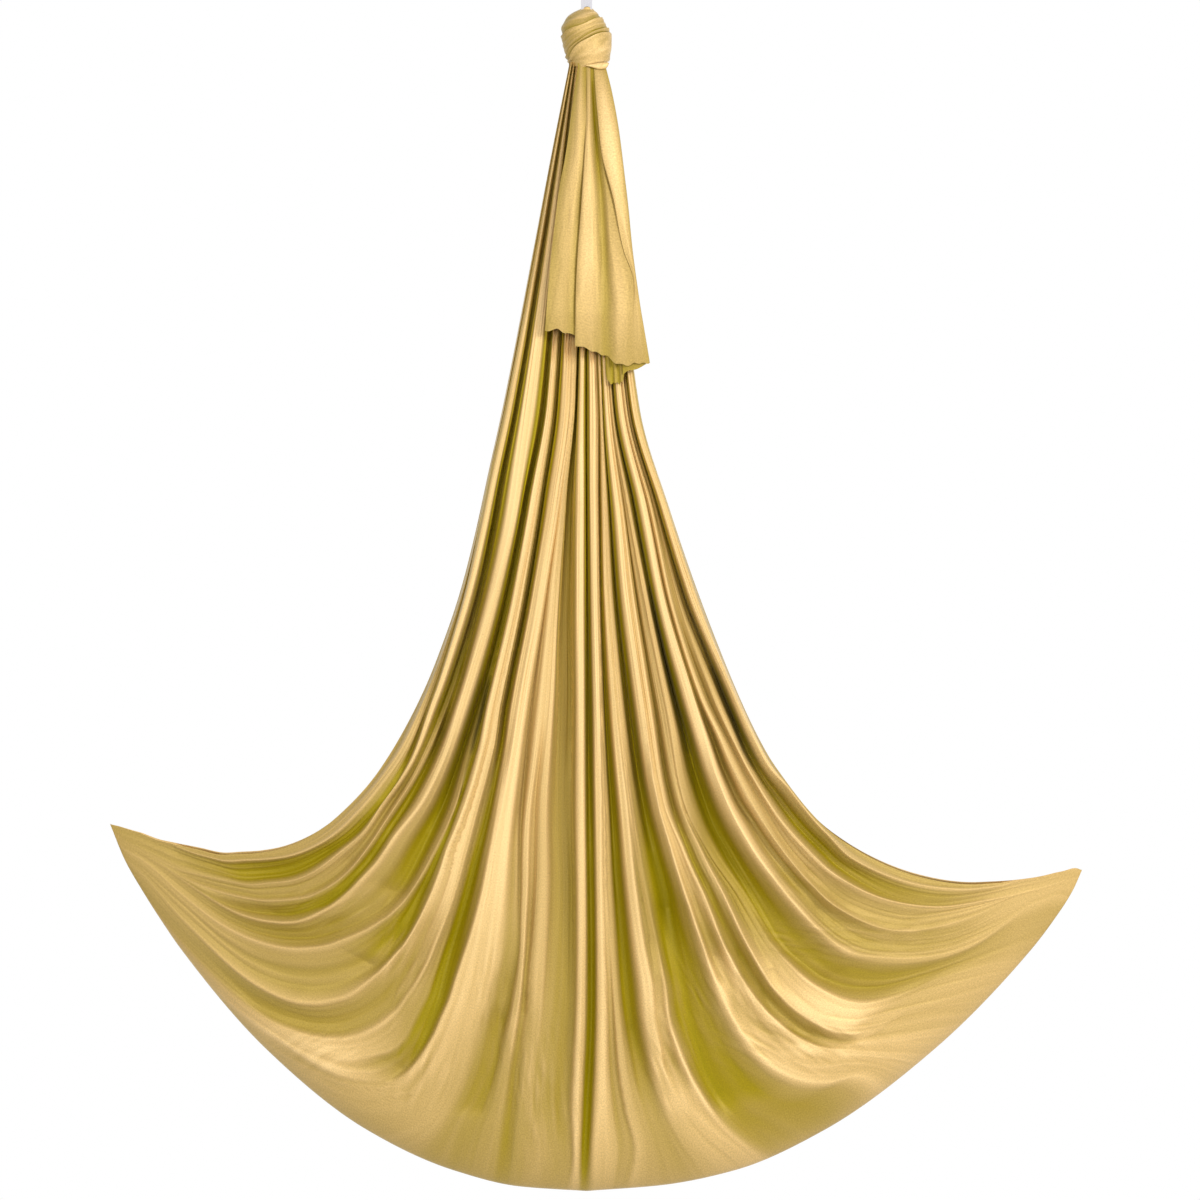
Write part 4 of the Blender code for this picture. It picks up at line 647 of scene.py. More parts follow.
def grid_mesh(name, points, columns, coordinates, fold, material, painted_slit_light_and_shade=None):
    """Open sheet over a grid of points, with its place on the cloth in metres, its painted shading tone and
    its painted slit light and shade.
    """
    rows = len(points) // columns
    corner = (np.arange(rows - 1)[:, None] * columns + np.arange(columns - 1)[None, :]).ravel()
    faces = np.stack([corner, corner + 1, corner + columns + 1, corner + columns], axis=1)
    mesh = bpy.data.meshes.new(name)
    mesh.vertices.add(len(points))
    mesh.vertices.foreach_set("co", points.astype(np.float32).ravel())
    mesh.loops.add(faces.size)
    mesh.loops.foreach_set("vertex_index", faces.astype(np.int32).ravel())
    mesh.polygons.add(len(faces))
    mesh.polygons.foreach_set("loop_start", np.arange(0, faces.size, 4, dtype=np.int32))
    mesh.polygons.foreach_set("loop_total", np.full(len(faces), 4, dtype=np.int32))
    mesh.update(calc_edges=True)
    mesh.validate()
    layer = mesh.uv_layers.new(name="cloth")
    layer.data.foreach_set("uv", coordinates[faces.ravel()].astype(np.float32).ravel())
    painted_slit_light_and_shade = np.zeros(len(points)) if painted_slit_light_and_shade is None else painted_slit_light_and_shade
    for title, values in (("fold", fold), ("painted_slit_light_and_shade", painted_slit_light_and_shade)):
        attribute = mesh.attributes.new(title, "FLOAT", "POINT")
        attribute.data.foreach_set("value", values.astype(np.float32).ravel())
    mesh.shade_smooth()
    mesh.materials.append(material)
    return link(bpy.data.objects.new(name, mesh))


def spread_share(column, row):
    """Share out and share down of a point of the photograph on the spread cloth."""
    column = PHOTO_SIZE / 2 + (column - PHOTO_SIZE / 2) * CREST_NEARNESS
    row = PHOTO_SIZE / 2 + (row - PHOTO_SIZE / 2) * CREST_NEARNESS
    side = -1 if column < MIDDLE_COLUMN else 1
    out = abs(column - MIDDLE_COLUMN) * PIXEL / REACH[side]
    drop = (row - KNOT_FOOT_ROW) * PIXEL
    down = drop / (CLOTH_DROP - TIP_RISE[side] * float(smooth_curve(BOTTOM[side], out)))
    return side * out / float(smooth_curve(SELVEDGE[side], down)), down


def cloth_place(across, down):
    """x and z of points of the spread cloth, from their shares across and down."""
    x = np.zeros_like(across)
    z = np.zeros_like(across)
    for side in (-1, 1):
        chosen = (across < 0) == (side < 0)
        out = np.abs(across) * smooth_curve(SELVEDGE[side], down)
        side_z = CLOTH_TOP - down * (CLOTH_DROP - TIP_RISE[side] * smooth_curve(BOTTOM[side], out))
        x = np.where(chosen, side * out * REACH[side], x)
        z = np.where(chosen, side_z, z)
    return x, z


def fold_lines():
    """Each fold's place across and its height, as curves over the way down."""
    lines = [([(0, -1), (1, -1)], [(0, .5), (1, .5)])]
    count = len(FOLDS) + 1
    for index, (title, foot, points) in enumerate(FOLDS):
        neck = -1 + 2 * (index + 1) / count
        places = [(0, neck)]
        heights = [(0, points[0][2])]
        for column, row, height in points:
            across, down = spread_share(column, row)
            if down > places[-1][0] + 0.004 and down < 0.998:
                places.append((down, across))
                heights.append((down, height))
        places.append((1, foot))
        heights.append((1, points[-1][2]))
        lines.append((places, heights))
    lines.append(([(0, 1), (1, 1)], [(0, .5), (1, .5)]))
    return lines


def eased_heights(places, heights, depth_shares, steepest):
    """Heights of the fold lines with narrow valleys made shallower, so that no side is too steep."""
    eased = heights.copy()
    for line in range(len(heights)):
        for other in (line - 1, line + 1):
            if 0 <= other < len(heights):
                drop = heights[other] - heights[line]
                allowed = steepest * np.abs(places[line] - places[other]) / depth_shares
                raised = heights[other] - np.minimum(drop, allowed)
                eased[line] = np.where(drop > 0, np.maximum(eased[line], raised), eased[line])
    return eased


def crest_shapes(from_crest, gentle):
    """Heights from a crest to its valley: an even wave, a flat crest with a steep side, and a thin crest."""
    even = 0.5 + 0.5 * np.cos(math.pi * from_crest)
    drop = CREST_ROUNDING * from_crest**2 + CREST_FALL * soft_step(from_crest, *FALL_PLACES)
    flat = 1 - gentle * drop - (1 - gentle) * soft_step(from_crest, *SLIT_PLACES)
    thin = np.exp(-((from_crest / THIN_CREST_WIDTH) ** 1.5))
    return even, flat, thin


def draw_valleys(places, heights, pull):
    """Draws the valleys of the swags towards the fold below them, which leaves a ledge above."""
    for line in range(1, len(places) - 1):
        valley = (heights[line] < heights[line - 1]) & (heights[line] < heights[line + 1])
        lower = line + 1 if line < LEFT_LINES else line - 1
        if line < LEFT_LINES or line > RIGHT_LINES:
            places[line] += np.where(valley, pull, 0) * (places[lower] - places[line])


def fold_heights(across, down_levels, depth_shares):
    """Over a grid of rows: height in the folds, the fold's running number, its painted shading tone, dark in
    the valleys and light on the crests, and its steepness.
    """
    lines = fold_lines()
    places = np.array([smooth_curve(line[0], down_levels) for line in lines])
    heights = np.array([smooth_curve(line[1], down_levels) for line in lines])
    draw_valleys(places, heights, straight_lines(LEDGE_PULLS, down_levels))
    places = np.maximum.accumulate(places + 1e-6 * np.arange(len(lines))[:, None], axis=0)
    eased = eased_heights(places, heights, depth_shares, straight_lines(STEEPEST, down_levels))
    height = np.zeros((len(down_levels), len(across)))
    number = np.zeros_like(height)
    tone = np.zeros_like(height)
    steepness = np.zeros_like(height)
    last = len(lines) - 1
    all_rim, no_rim = RIM_LINES
    rim = np.interp(np.arange(len(lines)), [all_rim, no_rim, last - no_rim, last - all_rim], [1, 0, 0, 1])
    for row, level in enumerate(down_levels):
        edges = places[:, row]
        index = np.clip(np.searchsorted(edges, across) - 1, 0, last - 1)
        width = edges[index + 1] - edges[index]
        t = np.clip((across - edges[index]) / np.maximum(width, 1e-9), 0, 1)
        left, right = heights[index, row], heights[index + 1, row]
        from_crest = np.where(left > right, t, 1 - t)
        even, flat, thin = crest_shapes(from_crest, straight_lines(SLIT_LEVELS, level))
        flatness = straight_lines(FLAT_CRESTS, level)
        swag = straight_lines(SWAGS, level) * ((index < LEFT_LINES) | (index >= RIGHT_LINES))
        low = np.minimum(eased[index, row], eased[index + 1, row])
        high = np.maximum(left, right)
        open_side = rim[index] * straight_lines(OPEN_SIDES, level)
        steepness[row] = (high - low) / np.maximum(width, 1e-6)
        steepness[row] *= soft_step(from_crest, *SLIT_PAINTED_LIGHT_PLACES) * (1 - swag) * (1 - open_side)
        band = flatness * flat + (1 - flatness) * even
        swag_height = SWAG_HEIGHTS[0] * even + SWAG_HEIGHTS[1] * thin
        height[row] = low + (high - low) * ((1 - swag) * band + swag * swag_height)
        # Painted shading tone: painted shade in the valleys and painted highlight on the crests, never darker
        # than the floors for the neck and the rim folds
        low = np.maximum(np.minimum(left, right), straight_lines(NECK_TONES, level))
        low = np.maximum(low, straight_lines(RIM_TONES, level) * rim[index])
        high = np.maximum(low, high)
        band_tone = flatness * (1 - soft_step(from_crest, *PAINTED_SHADE_PLACES)) + (1 - flatness) * even
        swag_tone = SWAG_PAINTED_SHADING[0] * even + SWAG_PAINTED_SHADING[1] * thin
        tone[row] = low + (high - low) * ((1 - swag) * band_tone + swag * swag_tone)
        number[row] = index + t
    return height, number, tone, steepness


def hidden_pleats(x, z, number, down):
    """Finer gathers of the front leaf, where the free end covers it."""
    column = MIDDLE_COLUMN + x / PIXEL
    row = KNOT_FOOT_ROW + (CLOTH_TOP - z) / PIXEL
    covered = np.minimum(column - straight_lines(PLEAT_LEFT, row), straight_lines(PLEAT_RIGHT, row) - column)
    share = np.clip(covered / PLEAT_EDGE_COLUMNS, 0, 1) * straight_lines(PLEAT_LEVELS, down)
    return PLEAT_HEIGHT * share * np.sin(2 * math.pi * PLEATS_PER_FOLD * number)


def crumples(x, z, seed):
    """Short creases in patches of the front leaf, each slanting its own way, between -1 and 1."""
    total = np.zeros_like(x)
    for index, (column, row, half_width, half_height, slant, strength) in enumerate(CRUMPLES):
        middle_x, middle_z = photo_place(column, row, CRUMPLES_Y)
        side, down = (x - middle_x) / PIXEL, (middle_z - z) / PIXEL
        turn = math.radians(slant)
        along = side * math.cos(turn) + down * math.sin(turn)
        across = down * math.cos(turn) - side * math.sin(turn)
        creases = 0
        for width, length, start, share, step in CREASES:
            lumps = soft_noise(across / width + start, along / length + start, seed + step + index)
            creases = creases + share * lumps
        total += strength * creases * np.exp(-((side / half_width) ** 2) - (down / half_height) ** 2)
    return total


def tight_slits(x, y, z):
    """1 along the middle of the tightest folds, 0 away from them."""
    nearer = (CAMERA_DISTANCE + y) / CAMERA_DISTANCE
    column = PHOTO_SIZE / 2 + (x - (PHOTO_SIZE / 2 - MIDDLE_COLUMN) * PIXEL) / (PIXEL * nearer)
    row = PHOTO_SIZE / 2 + (CLOTH_TOP - (PHOTO_SIZE / 2 - KNOT_FOOT_ROW) * PIXEL - z) / (PIXEL * nearer)
    total = np.zeros_like(x)
    for slit in TIGHT_SLITS:
        rows, columns = zip(*slit)
        share = np.clip((row - rows[0]) / (rows[-1] - rows[0]), 0, 1)
        aside = (column - np.interp(row, rows, columns)) / TIGHT_SLIT_HALF_WIDTH
        total = np.maximum(total, np.sqrt(4 * share * (1 - share)) * np.exp(-(aside**2)))
    return total


def fold_depth(down):
    """Depth of the folds at a share of the way down, before they flatten out to the bottom."""
    return NECK_FOLD_DEPTH + (FOLD_DEPTH - NECK_FOLD_DEPTH) * smooth_curve(FOLD_DEEPENING, down)


def leaf_levels():
    """Shares across and down of a leaf's columns and rows, closer together at the sides and the bottom."""
    even, closer = COLUMN_SPACING
    steps = np.linspace(-1, 1, LEAF_COLUMNS)
    across = even * steps + closer * np.sin(steps * math.pi / 2)
    even, closer = ROW_SPACING
    steps = np.linspace(0, 1, LEAF_ROWS)
    down = (1 + TOP_HIDDEN) * (even * steps + closer * (1 - (1 - steps) ** 2)) - TOP_HIDDEN
    return across, down


def tip_taper(x, z):
    """How full the cloth is near its two tips: 0 at a tip, 1 away from it."""
    near_left = np.hypot(x + REACH[-1], z - CLOTH_TOP + CLOTH_DROP - TIP_RISE[-1])
    near_right = np.hypot(x - REACH[1], z - CLOTH_TOP + CLOTH_DROP - TIP_RISE[1])
    return np.minimum(1, np.minimum(near_left, near_right) / TIP_TAPER_LENGTH)


def leaf(name, facing, seed, material):
    """One leaf of the pouch. Facing is -1 for the front one and 1 for the back one."""
    across, down = leaf_levels()
    wide_across, wide_down = np.meshgrid(across, down)
    x, z = cloth_place(wide_across, wide_down)
    width = np.ptp(x, axis=1)
    depth = fold_depth(down) * smooth_curve(FOLD_FLATTENING, down)
    height, number, tone, steepness = fold_heights(across, down, depth / (width / 2))
    if facing > 0:
        height = np.clip(0.5 + (height - 0.5) * BACK_CONTRAST, 0, 1)
    taper = tip_taper(x, z)
    streaks = layered_noise(STREAKS, number, wide_down, seed)
    lumps = soft_noise(x * LUMPS_PER_METRE + 50, z * LUMPS_PER_METRE + 80, seed + 2)
    depth = depth[:, None] * taper
    in_rounding = ((wide_down - (1 - FOOT_ROUNDING)) / FOOT_ROUNDING).clip(0, 1)
    closing = np.sqrt(np.clip(1 - in_rounding**2, 0, 1))
    gap = POUCH_HALF_GAP * smooth_curve(POUCH_OPENING, wide_down) * taper * closing
    detail = STREAK_HEIGHT * streaks * np.clip(depth / STREAK_FULL_DEPTH, 0.15, 1)
    detail = np.clip(detail + LUMP_HEIGHT * lumps * taper * closing, -DETAIL_LIMIT, DETAIL_LIMIT)
    fullness = MOST_FULLNESS * straight_lines(FULLNESS, wide_down) * (facing < 0)
    relief_height = fullness + (1 - fullness) * height
    y = gap + (LEAF_CLEARANCE + depth * relief_height + detail) * closing
    creased = np.zeros_like(x)
    if facing < 0:
        creased = crumples(x, z, seed)
        y += hidden_pleats(x, z, number, wide_down) + CRUMPLE_HEIGHT * creased * closing
    sides_closed = straight_lines(CLOSED_SIDES, wide_down) * soft_step(np.abs(wide_across), *CLOSED_SELVEDGE)
    y = facing * (SEAM_GAP + np.maximum(y, LEAF_CLEARANCE * closing) * (1 - sides_closed))
    # Painted shading of the leaf: the folds' painted shade and highlight, the painted shading of streaks and
    # crumples, painted side light and painted shade at the bottom
    relief = np.clip(depth / (FULL_TONE_DEPTH * FOLD_DEPTH), LEAST_TONE_SHARE, 1)
    painted_side_and_bottom_light = straight_lines(PAINTED_SIDE_LIGHT, x) - PAINTED_BOTTOM_SHADE * soft_step(wide_down, 0.95, 1)
    fold = painted_side_and_bottom_light + (tone + STREAK_PAINTED_SHADING * streaks - painted_side_and_bottom_light) * relief + CRUMPLE_PAINTED_SHADING * creased
    # Painted bounce light in the steep narrow folds
    painted_slit_light_and_shade = SLIT_PAINTED_LIGHT * soft_step(steepness * depth / width[:, None], *SLIT_STEEPNESS)
    points = joined(x, y, z)
    coordinates = joined(wide_across * CLOTH_FLAT_WIDTH / 2, wide_down * CLOTH_DROP)
    if facing < 0:
        # Painted shade along the tightest folds, in place of the painted bounce light
        tight = tight_slits(x, y, z)
        painted_slit_light_and_shade = painted_slit_light_and_shade * (1 - tight) - TIGHT_SLIT_PAINTED_SHADE * tight
    else:
        # Painted light on the back leaf's edge, lifting it out of the front leaf's shade
        edge = soft_step(np.abs(wide_across), *BACK_EDGE_OUT) * soft_step(wide_down, *BACK_EDGE_DOWN)
        fold = np.maximum(fold, BACK_EDGE_PAINTED_LIGHT * edge)
        points = points.reshape(LEAF_ROWS, LEAF_COLUMNS, 3)[:, ::-1].reshape(-1, 3)
        coordinates = coordinates.reshape(LEAF_ROWS, LEAF_COLUMNS, 2)[:, ::-1].reshape(-1, 2)
        fold = fold[:, ::-1]
        painted_slit_light_and_shade = painted_slit_light_and_shade[:, ::-1]
    piece = grid_mesh(name, points, LEAF_COLUMNS, coordinates, np.clip(fold, 0, 1), material, painted_slit_light_and_shade)
    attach(piece, "hammock")
    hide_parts(name.replace("_cloth", ""))


def spline(values, at):
    """Values at fractional places along a list of stations, on a curve through each of them."""
    index = np.clip(np.floor(at).astype(int), 0, len(values) - 2)
    t = (at - index)[:, None]
    before, after = values[np.maximum(index - 1, 0)], values[np.minimum(index + 2, len(values) - 1)]
    here, there = values[index], values[index + 1]
    start, end = (there - before) / 2, (after - here) / 2
    return ((2 * t**3 - 3 * t**2 + 1) * here + (t**3 - 2 * t**2 + t) * start
            + (3 * t**2 - 2 * t**3) * there + (t**3 - t**2) * end)


def leaf_front(row):
    """How far the front leaf's crests stand forward at a row of the photograph."""
    down = (np.asarray(row, float) - KNOT_FOOT_ROW) * PIXEL / CLOTH_DROP
    gap = POUCH_HALF_GAP * smooth_curve(POUCH_OPENING, down)
    pleats = PLEAT_HEIGHT * straight_lines(PLEAT_LEVELS, down)
    return LEAF_CLEARANCE + gap + fold_depth(down) + DETAIL_LIMIT + pleats


def tail(name, stations, lifts, seed, flat, material):
    """A free end of the cloth: a sheet through the followed folds, in front of the leaf."""
    at = np.linspace(0, len(stations) - 1, (len(stations) - 1) * TAIL_STEPS + 1)
    share = np.linspace(0, 1, TAIL_ROWS)
    rows = np.zeros((TAIL_ROWS, len(stations)))
    columns = np.zeros_like(rows)
    heights = np.zeros_like(rows)
    for index, (title, points) in enumerate(stations):
        first, last = points[0][0] - TAIL_ROWS_HIDDEN, points[-1][0]
        rows[:, index] = first + (last - first) * share
        columns[:, index] = smooth_curve([(row, column) for row, column, height in points], rows[:, index])
        heights[:, index] = smooth_curve([(row, height) for row, column, height in points], rows[:, index])
    rows, columns, heights = (spline(values.T, at).T for values in (rows, columns, heights))
    rise = straight_lines(TAIL_RISES, rows)
    heights = heights * rise
    wide_share = np.broadcast_to(share[:, None], rows.shape)
    wide_at = np.broadcast_to(at[None, :], rows.shape)
    in_hem = np.clip((wide_share - (1 - HEM_SHARE)) / HEM_SHARE, 0, 1)
    curl = HEM_CURL * np.sin(wide_at * HEM_WAVES + seed) * in_hem**2
    wrinkle = layered_noise(TAIL_WRINKLES, wide_at, wide_share, seed)
    bend = layered_noise(TAIL_BENDS, wide_at, wide_share, seed) * np.clip(wide_share * 6, 0, 1)
    forward = heights + TAIL_OFF_LEAF_MM + wrinkle * np.clip(wide_share * 4, 0.2, 1)
    y = -leaf_front(np.clip(rows, *TAIL_LEAF_ROWS)) - straight_lines(lifts, rows) - forward / 1000
    x, z = photo_place(columns + bend, rows + curl, y)
    points = joined(x, y, z)
    coordinates = joined(wide_at / (len(stations) - 1) * flat[0], wide_share * flat[1])
    # Painted shading: painted shade in the valleys, lighter the higher a fold and its wrinkles stand
    fold = np.clip(TAIL_VALLEY_PAINTED_SHADE + (heights / rise + wrinkle) / TAIL_PAINTED_HIGHLIGHT_MM, 0, 1)
    piece = grid_mesh(name, points, rows.shape[1], coordinates, fold, material)
    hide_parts(name.replace("_cloth", ""))
    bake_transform(piece)


def knot_shape(row):
    """Centre in x and radius of the knot at a row of the photograph."""
    left = photo_place(smooth_curve(KNOT_LEFT, row), row, 0)[0]
    right = photo_place(smooth_curve(KNOT_RIGHT, row), row, 0)[0]
    return (left + right) / 2, (right - left) / 2


def knot_wrap(name, node, top, bottom, cover, lift, pleats, ridge, seed, material, roll=1.0):
    """One turn of cloth round the knot, from its upper edge to where the next turn or the foot covers it."""
    turns = np.radians(np.linspace(-180, 180, WRAP_TURN_STEPS))
    share = np.concatenate([WRAP_ROLL_SHARES, np.linspace(0, 1, 44)])
    angle, along = np.meshgrid(turns, share)
    top_row, bottom_row = top(np.degrees(angle)), bottom(np.degrees(angle))
    inside = np.clip(along / WRAP_ROLL_SHARES[0], 0, 1)
    reach = np.clip(along, 0, 1)
    row = top_row + (bottom_row - top_row) * reach + roll * WRAP_ROLL_ROWS * inside
    centre, radius = knot_shape(row)
    sine, cosine = np.sin(angle), np.cos(angle)
    waver = soft_noise(1.1 * cosine + 30, 1.1 * sine + 30 + reach, seed)
    ridges = np.sin(math.pi * (2 * pleats * reach + 1.1 * waver))
    fine = soft_noise(1.3 * cosine + 3.5 * sine + 60, reach * 5 * pleats + 2.2 * sine + 60, seed + 1)
    under = np.exp(-np.clip(cover(np.degrees(angle)) - row, 0, None) / WRAP_SHADE_ROWS)
    edge = np.exp(-np.clip(row - top_row, 0, None) / WRAP_EDGE_ROWS)
    ending = np.clip((reach - (1 - WRAP_END_SHARE)) / WRAP_END_SHARE, 0, 1)
    stand = lift * (1 - reach) ** 1.2 + WRAP_EDGE_HEIGHT * edge * roll
    stand += ridge * ridges * np.sin(math.pi * reach) ** 0.5
    stand += 0.5 * ridge * fine - WRAP_ROLL_DEPTH * roll * inside**1.5 - WRAP_SHADE_DEPTH * under
    stand -= WRAP_END_DEPTH * ending**2
    radius = np.maximum(radius + stand, KNOT_LEAST_RADIUS)
    x = centre + radius * cosine
    y = straight_lines(KNOT_DEPTHS, row) * radius * sine
    z = photo_place(0, row, y)[1]
    # Painted shading of the wrap: painted shade on the left side, under the next turn and inside the roll,
    # painted highlight on the upper edge, lighter on the ridges
    plain = straight_lines(KNOT_TINTS, row) - KNOT_LEFT_SHADE * np.clip(-cosine, 0, 1)
    fold = plain + WRAP_RIDGE_PAINTED_SHADING * ridge * ridges + WRAP_FINE_PAINTED_SHADING * fine + WRAP_EDGE_PAINTED_HIGHLIGHT * edge
    fold = fold - WRAP_INSIDE_PAINTED_SHADE * inside - WRAP_SHADE_TONE * under
    coordinates = joined(angle * 0.04, reach * 0.06)
    piece = grid_mesh(name, joined(x, y, z), len(turns), coordinates, np.clip(fold, 0, 1), material)
    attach(piece, "hammock")
    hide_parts(*node)


def wrap_edge(title, below=0):
    """A turn's upper edge, or a line that many rows below it: a function from the angle to the row."""
    return lambda degrees: smooth_curve(WRAP_EDGES[title], degrees) + below


def crown_top(degrees):
    """Upper edge of the crown, which is highest in front."""
    return 8.7 - 2.2 * np.clip(-np.sin(np.radians(degrees)), 0, 1) ** 4


def knot_tuck(material):
    """The end of the cloth tucked in at the knot's foot: a flat roll that follows the knot's lower right."""
    at = np.linspace(0, len(TUCK_EDGES) - 1, 8 * (len(TUCK_EDGES) - 1) + 1)
    column, upper, lower = (spline(np.array(values)[:, None], at)[:, 0] for values in zip(*TUCK_EDGES))
    turns = np.linspace(0, 2 * math.pi, 33)
    around, station = np.meshgrid(turns, np.arange(len(at)))
    half = (lower - upper)[station] / 2
    row = (upper + lower)[station] / 2 - half * np.cos(around)
    centre, radius = knot_shape(np.full(len(at), TUCK_ROW))
    across = (photo_place(column, 66, 0)[0] - centre) / radius
    front = -np.maximum(radius * np.sqrt(np.clip(1 - across**2, 0.02, 1)), TUCK_LEAST_FRONT) - 0.001
    bulge = TUCK_BULGE * np.clip(half / 2.5, 0.3, 1)
    y = front[station] - bulge * np.sin(around)
    x, z = photo_place(column[station] + 0.5 * np.sin(3 * around), row, y)
    coordinates = joined(station * 0.0006, around * 0.003)
    # Painted shading of the roll: lighter on its side facing forward, darker towards its back, and painted
    # shade on its lower edge
    fold = np.clip(0.74 + 0.22 * np.sin(around) - 0.25 * np.clip(-np.cos(around), 0, 1) ** 3, 0, 1)
    piece = grid_mesh("knot_tuck_cloth", joined(x, y, z), len(turns), coordinates, fold, material)
    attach(piece, "hammock")
    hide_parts("knot_tuck")


def knot(material):
    """Crown, three slanting wraps and the tucked end."""
    upper, middle, lower, foot = (wrap_edge(title) for title in WRAP_EDGES)
    knot_wrap("knot_crown_cloth", ["knot_crown", "knot_core"], crown_top, wrap_edge("upper", 5), upper,
              lift=0.0, pleats=3, ridge=0.0007, seed=21, material=material, roll=0.3)
    knot_wrap("knot_wrap_upper_cloth", ["knot_wrap_upper"], upper, wrap_edge("middle", 5), middle,
              lift=0.0022, pleats=4, ridge=0.0004, seed=22, material=material)
    knot_wrap("knot_wrap_middle_cloth", ["knot_wrap_middle"], middle, wrap_edge("lower", 4), lower,
              lift=0.0024, pleats=1, ridge=0.0003, seed=23, material=material)
    knot_wrap("knot_wrap_lower_cloth", ["knot_wrap_lower"], lower, foot, wrap_edge("foot", 2.5),
              lift=0.0026, pleats=2, ridge=0.0003, seed=24, material=material)
    knot_tuck(material)


def shader_nodes(name):
    """A new material with its nodes, links and shader."""
    material = bpy.data.materials.new(name)
    material.use_nodes = True
    nodes = material.node_tree.nodes
    return material, nodes, material.node_tree.links, nodes["Principled BSDF"]


def set_inputs(node, values):
    """Gives the named inputs of a node their values."""
    for title, value in values.items():
        node.inputs[title].default_value = value


def ramp_node(nodes, stops):
    """Colours blended between (place, colour) stops."""
    ramp = nodes.new("ShaderNodeValToRGB")
    while len(ramp.color_ramp.elements) < len(stops):
        ramp.color_ramp.elements.new(0.5)
    for element, (place, colour) in zip(ramp.color_ramp.elements, stops):
        element.position = place
        element.color = (*colour, 1)
    return ramp


def add_bump(nodes, links, shader, height, strength, distance):
    """Roughens the surface by a height."""
    bump = nodes.new("ShaderNodeBump")
    set_inputs(bump, {"Strength": strength, "Distance": distance})
    links.new(height, bump.inputs["Height"])
    links.new(bump.outputs["Normal"], shader.inputs["Normal"])


def gold_cloth():
    """Satin nylon knit, its colour picked by painted shading: painted highlight on the crests and painted
    olive shade down in the folds.
    """
    material, nodes, links, shader = shader_nodes("gold_satin_knit")
    # The painted shading tone of each point picks its colour from the ramp
    fold = nodes.new("ShaderNodeAttribute")
    fold.attribute_name = "fold"
    ramp = ramp_node(nodes, CLOTH_PAINTED_SHADING_COLOURS)
    links.new(fold.outputs["Fac"], ramp.inputs["Fac"])
    place = nodes.new("ShaderNodeUVMap")
    place.uv_map = "cloth"
    grain = nodes.new("ShaderNodeTexNoise")
    set_inputs(grain, {"Scale": 340.0, "Detail": 2.0})
    links.new(place.outputs["UV"], grain.inputs["Vector"])
    level = nodes.new("ShaderNodeMapRange")
    set_inputs(level, {"From Min": 0.30, "From Max": 0.70, "To Min": 0.84, "To Max": 1.16})
    links.new(grain.outputs["Fac"], level.inputs["Value"])
    # Painted bounce light in narrow folds and painted shade in the tightest ones scale the colour together
    # with the grain
    painted_slit_light_and_shade = nodes.new("ShaderNodeAttribute")
    painted_slit_light_and_shade.attribute_name = "painted_slit_light_and_shade"
    brighter = nodes.new("ShaderNodeMath")
    brighter.operation = "MULTIPLY_ADD"
    links.new(painted_slit_light_and_shade.outputs["Fac"], brighter.inputs[0])
    links.new(level.outputs["Result"], brighter.inputs[1])
    links.new(level.outputs["Result"], brighter.inputs[2])
    grain_and_painted_light = nodes.new("ShaderNodeVectorMath")
    grain_and_painted_light.operation = "SCALE"
    links.new(ramp.outputs["Color"], grain_and_painted_light.inputs[0])
    links.new(brighter.outputs["Value"], grain_and_painted_light.inputs["Scale"])
    links.new(grain_and_painted_light.outputs["Vector"], shader.inputs["Base Color"])
    stretch = nodes.new("ShaderNodeMapping")
    set_inputs(stretch, {"Scale": (520, 260, 1), "Rotation": (0, 0, 0.6)})
    links.new(place.outputs["UV"], stretch.inputs["Vector"])
    knit = nodes.new("ShaderNodeTexNoise")
    set_inputs(knit, {"Scale": 1.0, "Detail": 3.0})
    links.new(stretch.outputs["Vector"], knit.inputs["Vector"])
    add_bump(nodes, links, shader, knit.outputs["Fac"], strength=0.5, distance=0.0007)
    set_inputs(shader, {
        "Roughness": 0.40,
        "Specular IOR Level": 0.55,
        "Specular Tint": (1.0, 0.74, 0.25, 1),
        "Sheen Weight": 0.12,
        "Sheen Roughness": 0.4,
        "Sheen Tint": (1.0, 0.70, 0.25, 1),
    })
    return material


def webbing():
    """White woven strap with its rows of thread."""
    material, nodes, links, shader = shader_nodes("white_webbing")
    place = nodes.new("ShaderNodeTexCoord")
    weave = nodes.new("ShaderNodeTexWave")
    set_inputs(weave, {"Scale": 260, "Distortion": 0.6})
    weave.bands_direction = "Z"
    links.new(place.outputs["Object"], weave.inputs["Vector"])
    ramp = ramp_node(nodes, WEBBING_COLOURS)
    links.new(weave.outputs["Fac"], ramp.inputs["Fac"])
    links.new(ramp.outputs["Color"], shader.inputs["Base Color"])
    add_bump(nodes, links, shader, weave.outputs["Fac"], strength=0.5, distance=0.0005)
    set_inputs(shader, {"Roughness": 0.8})
    return material


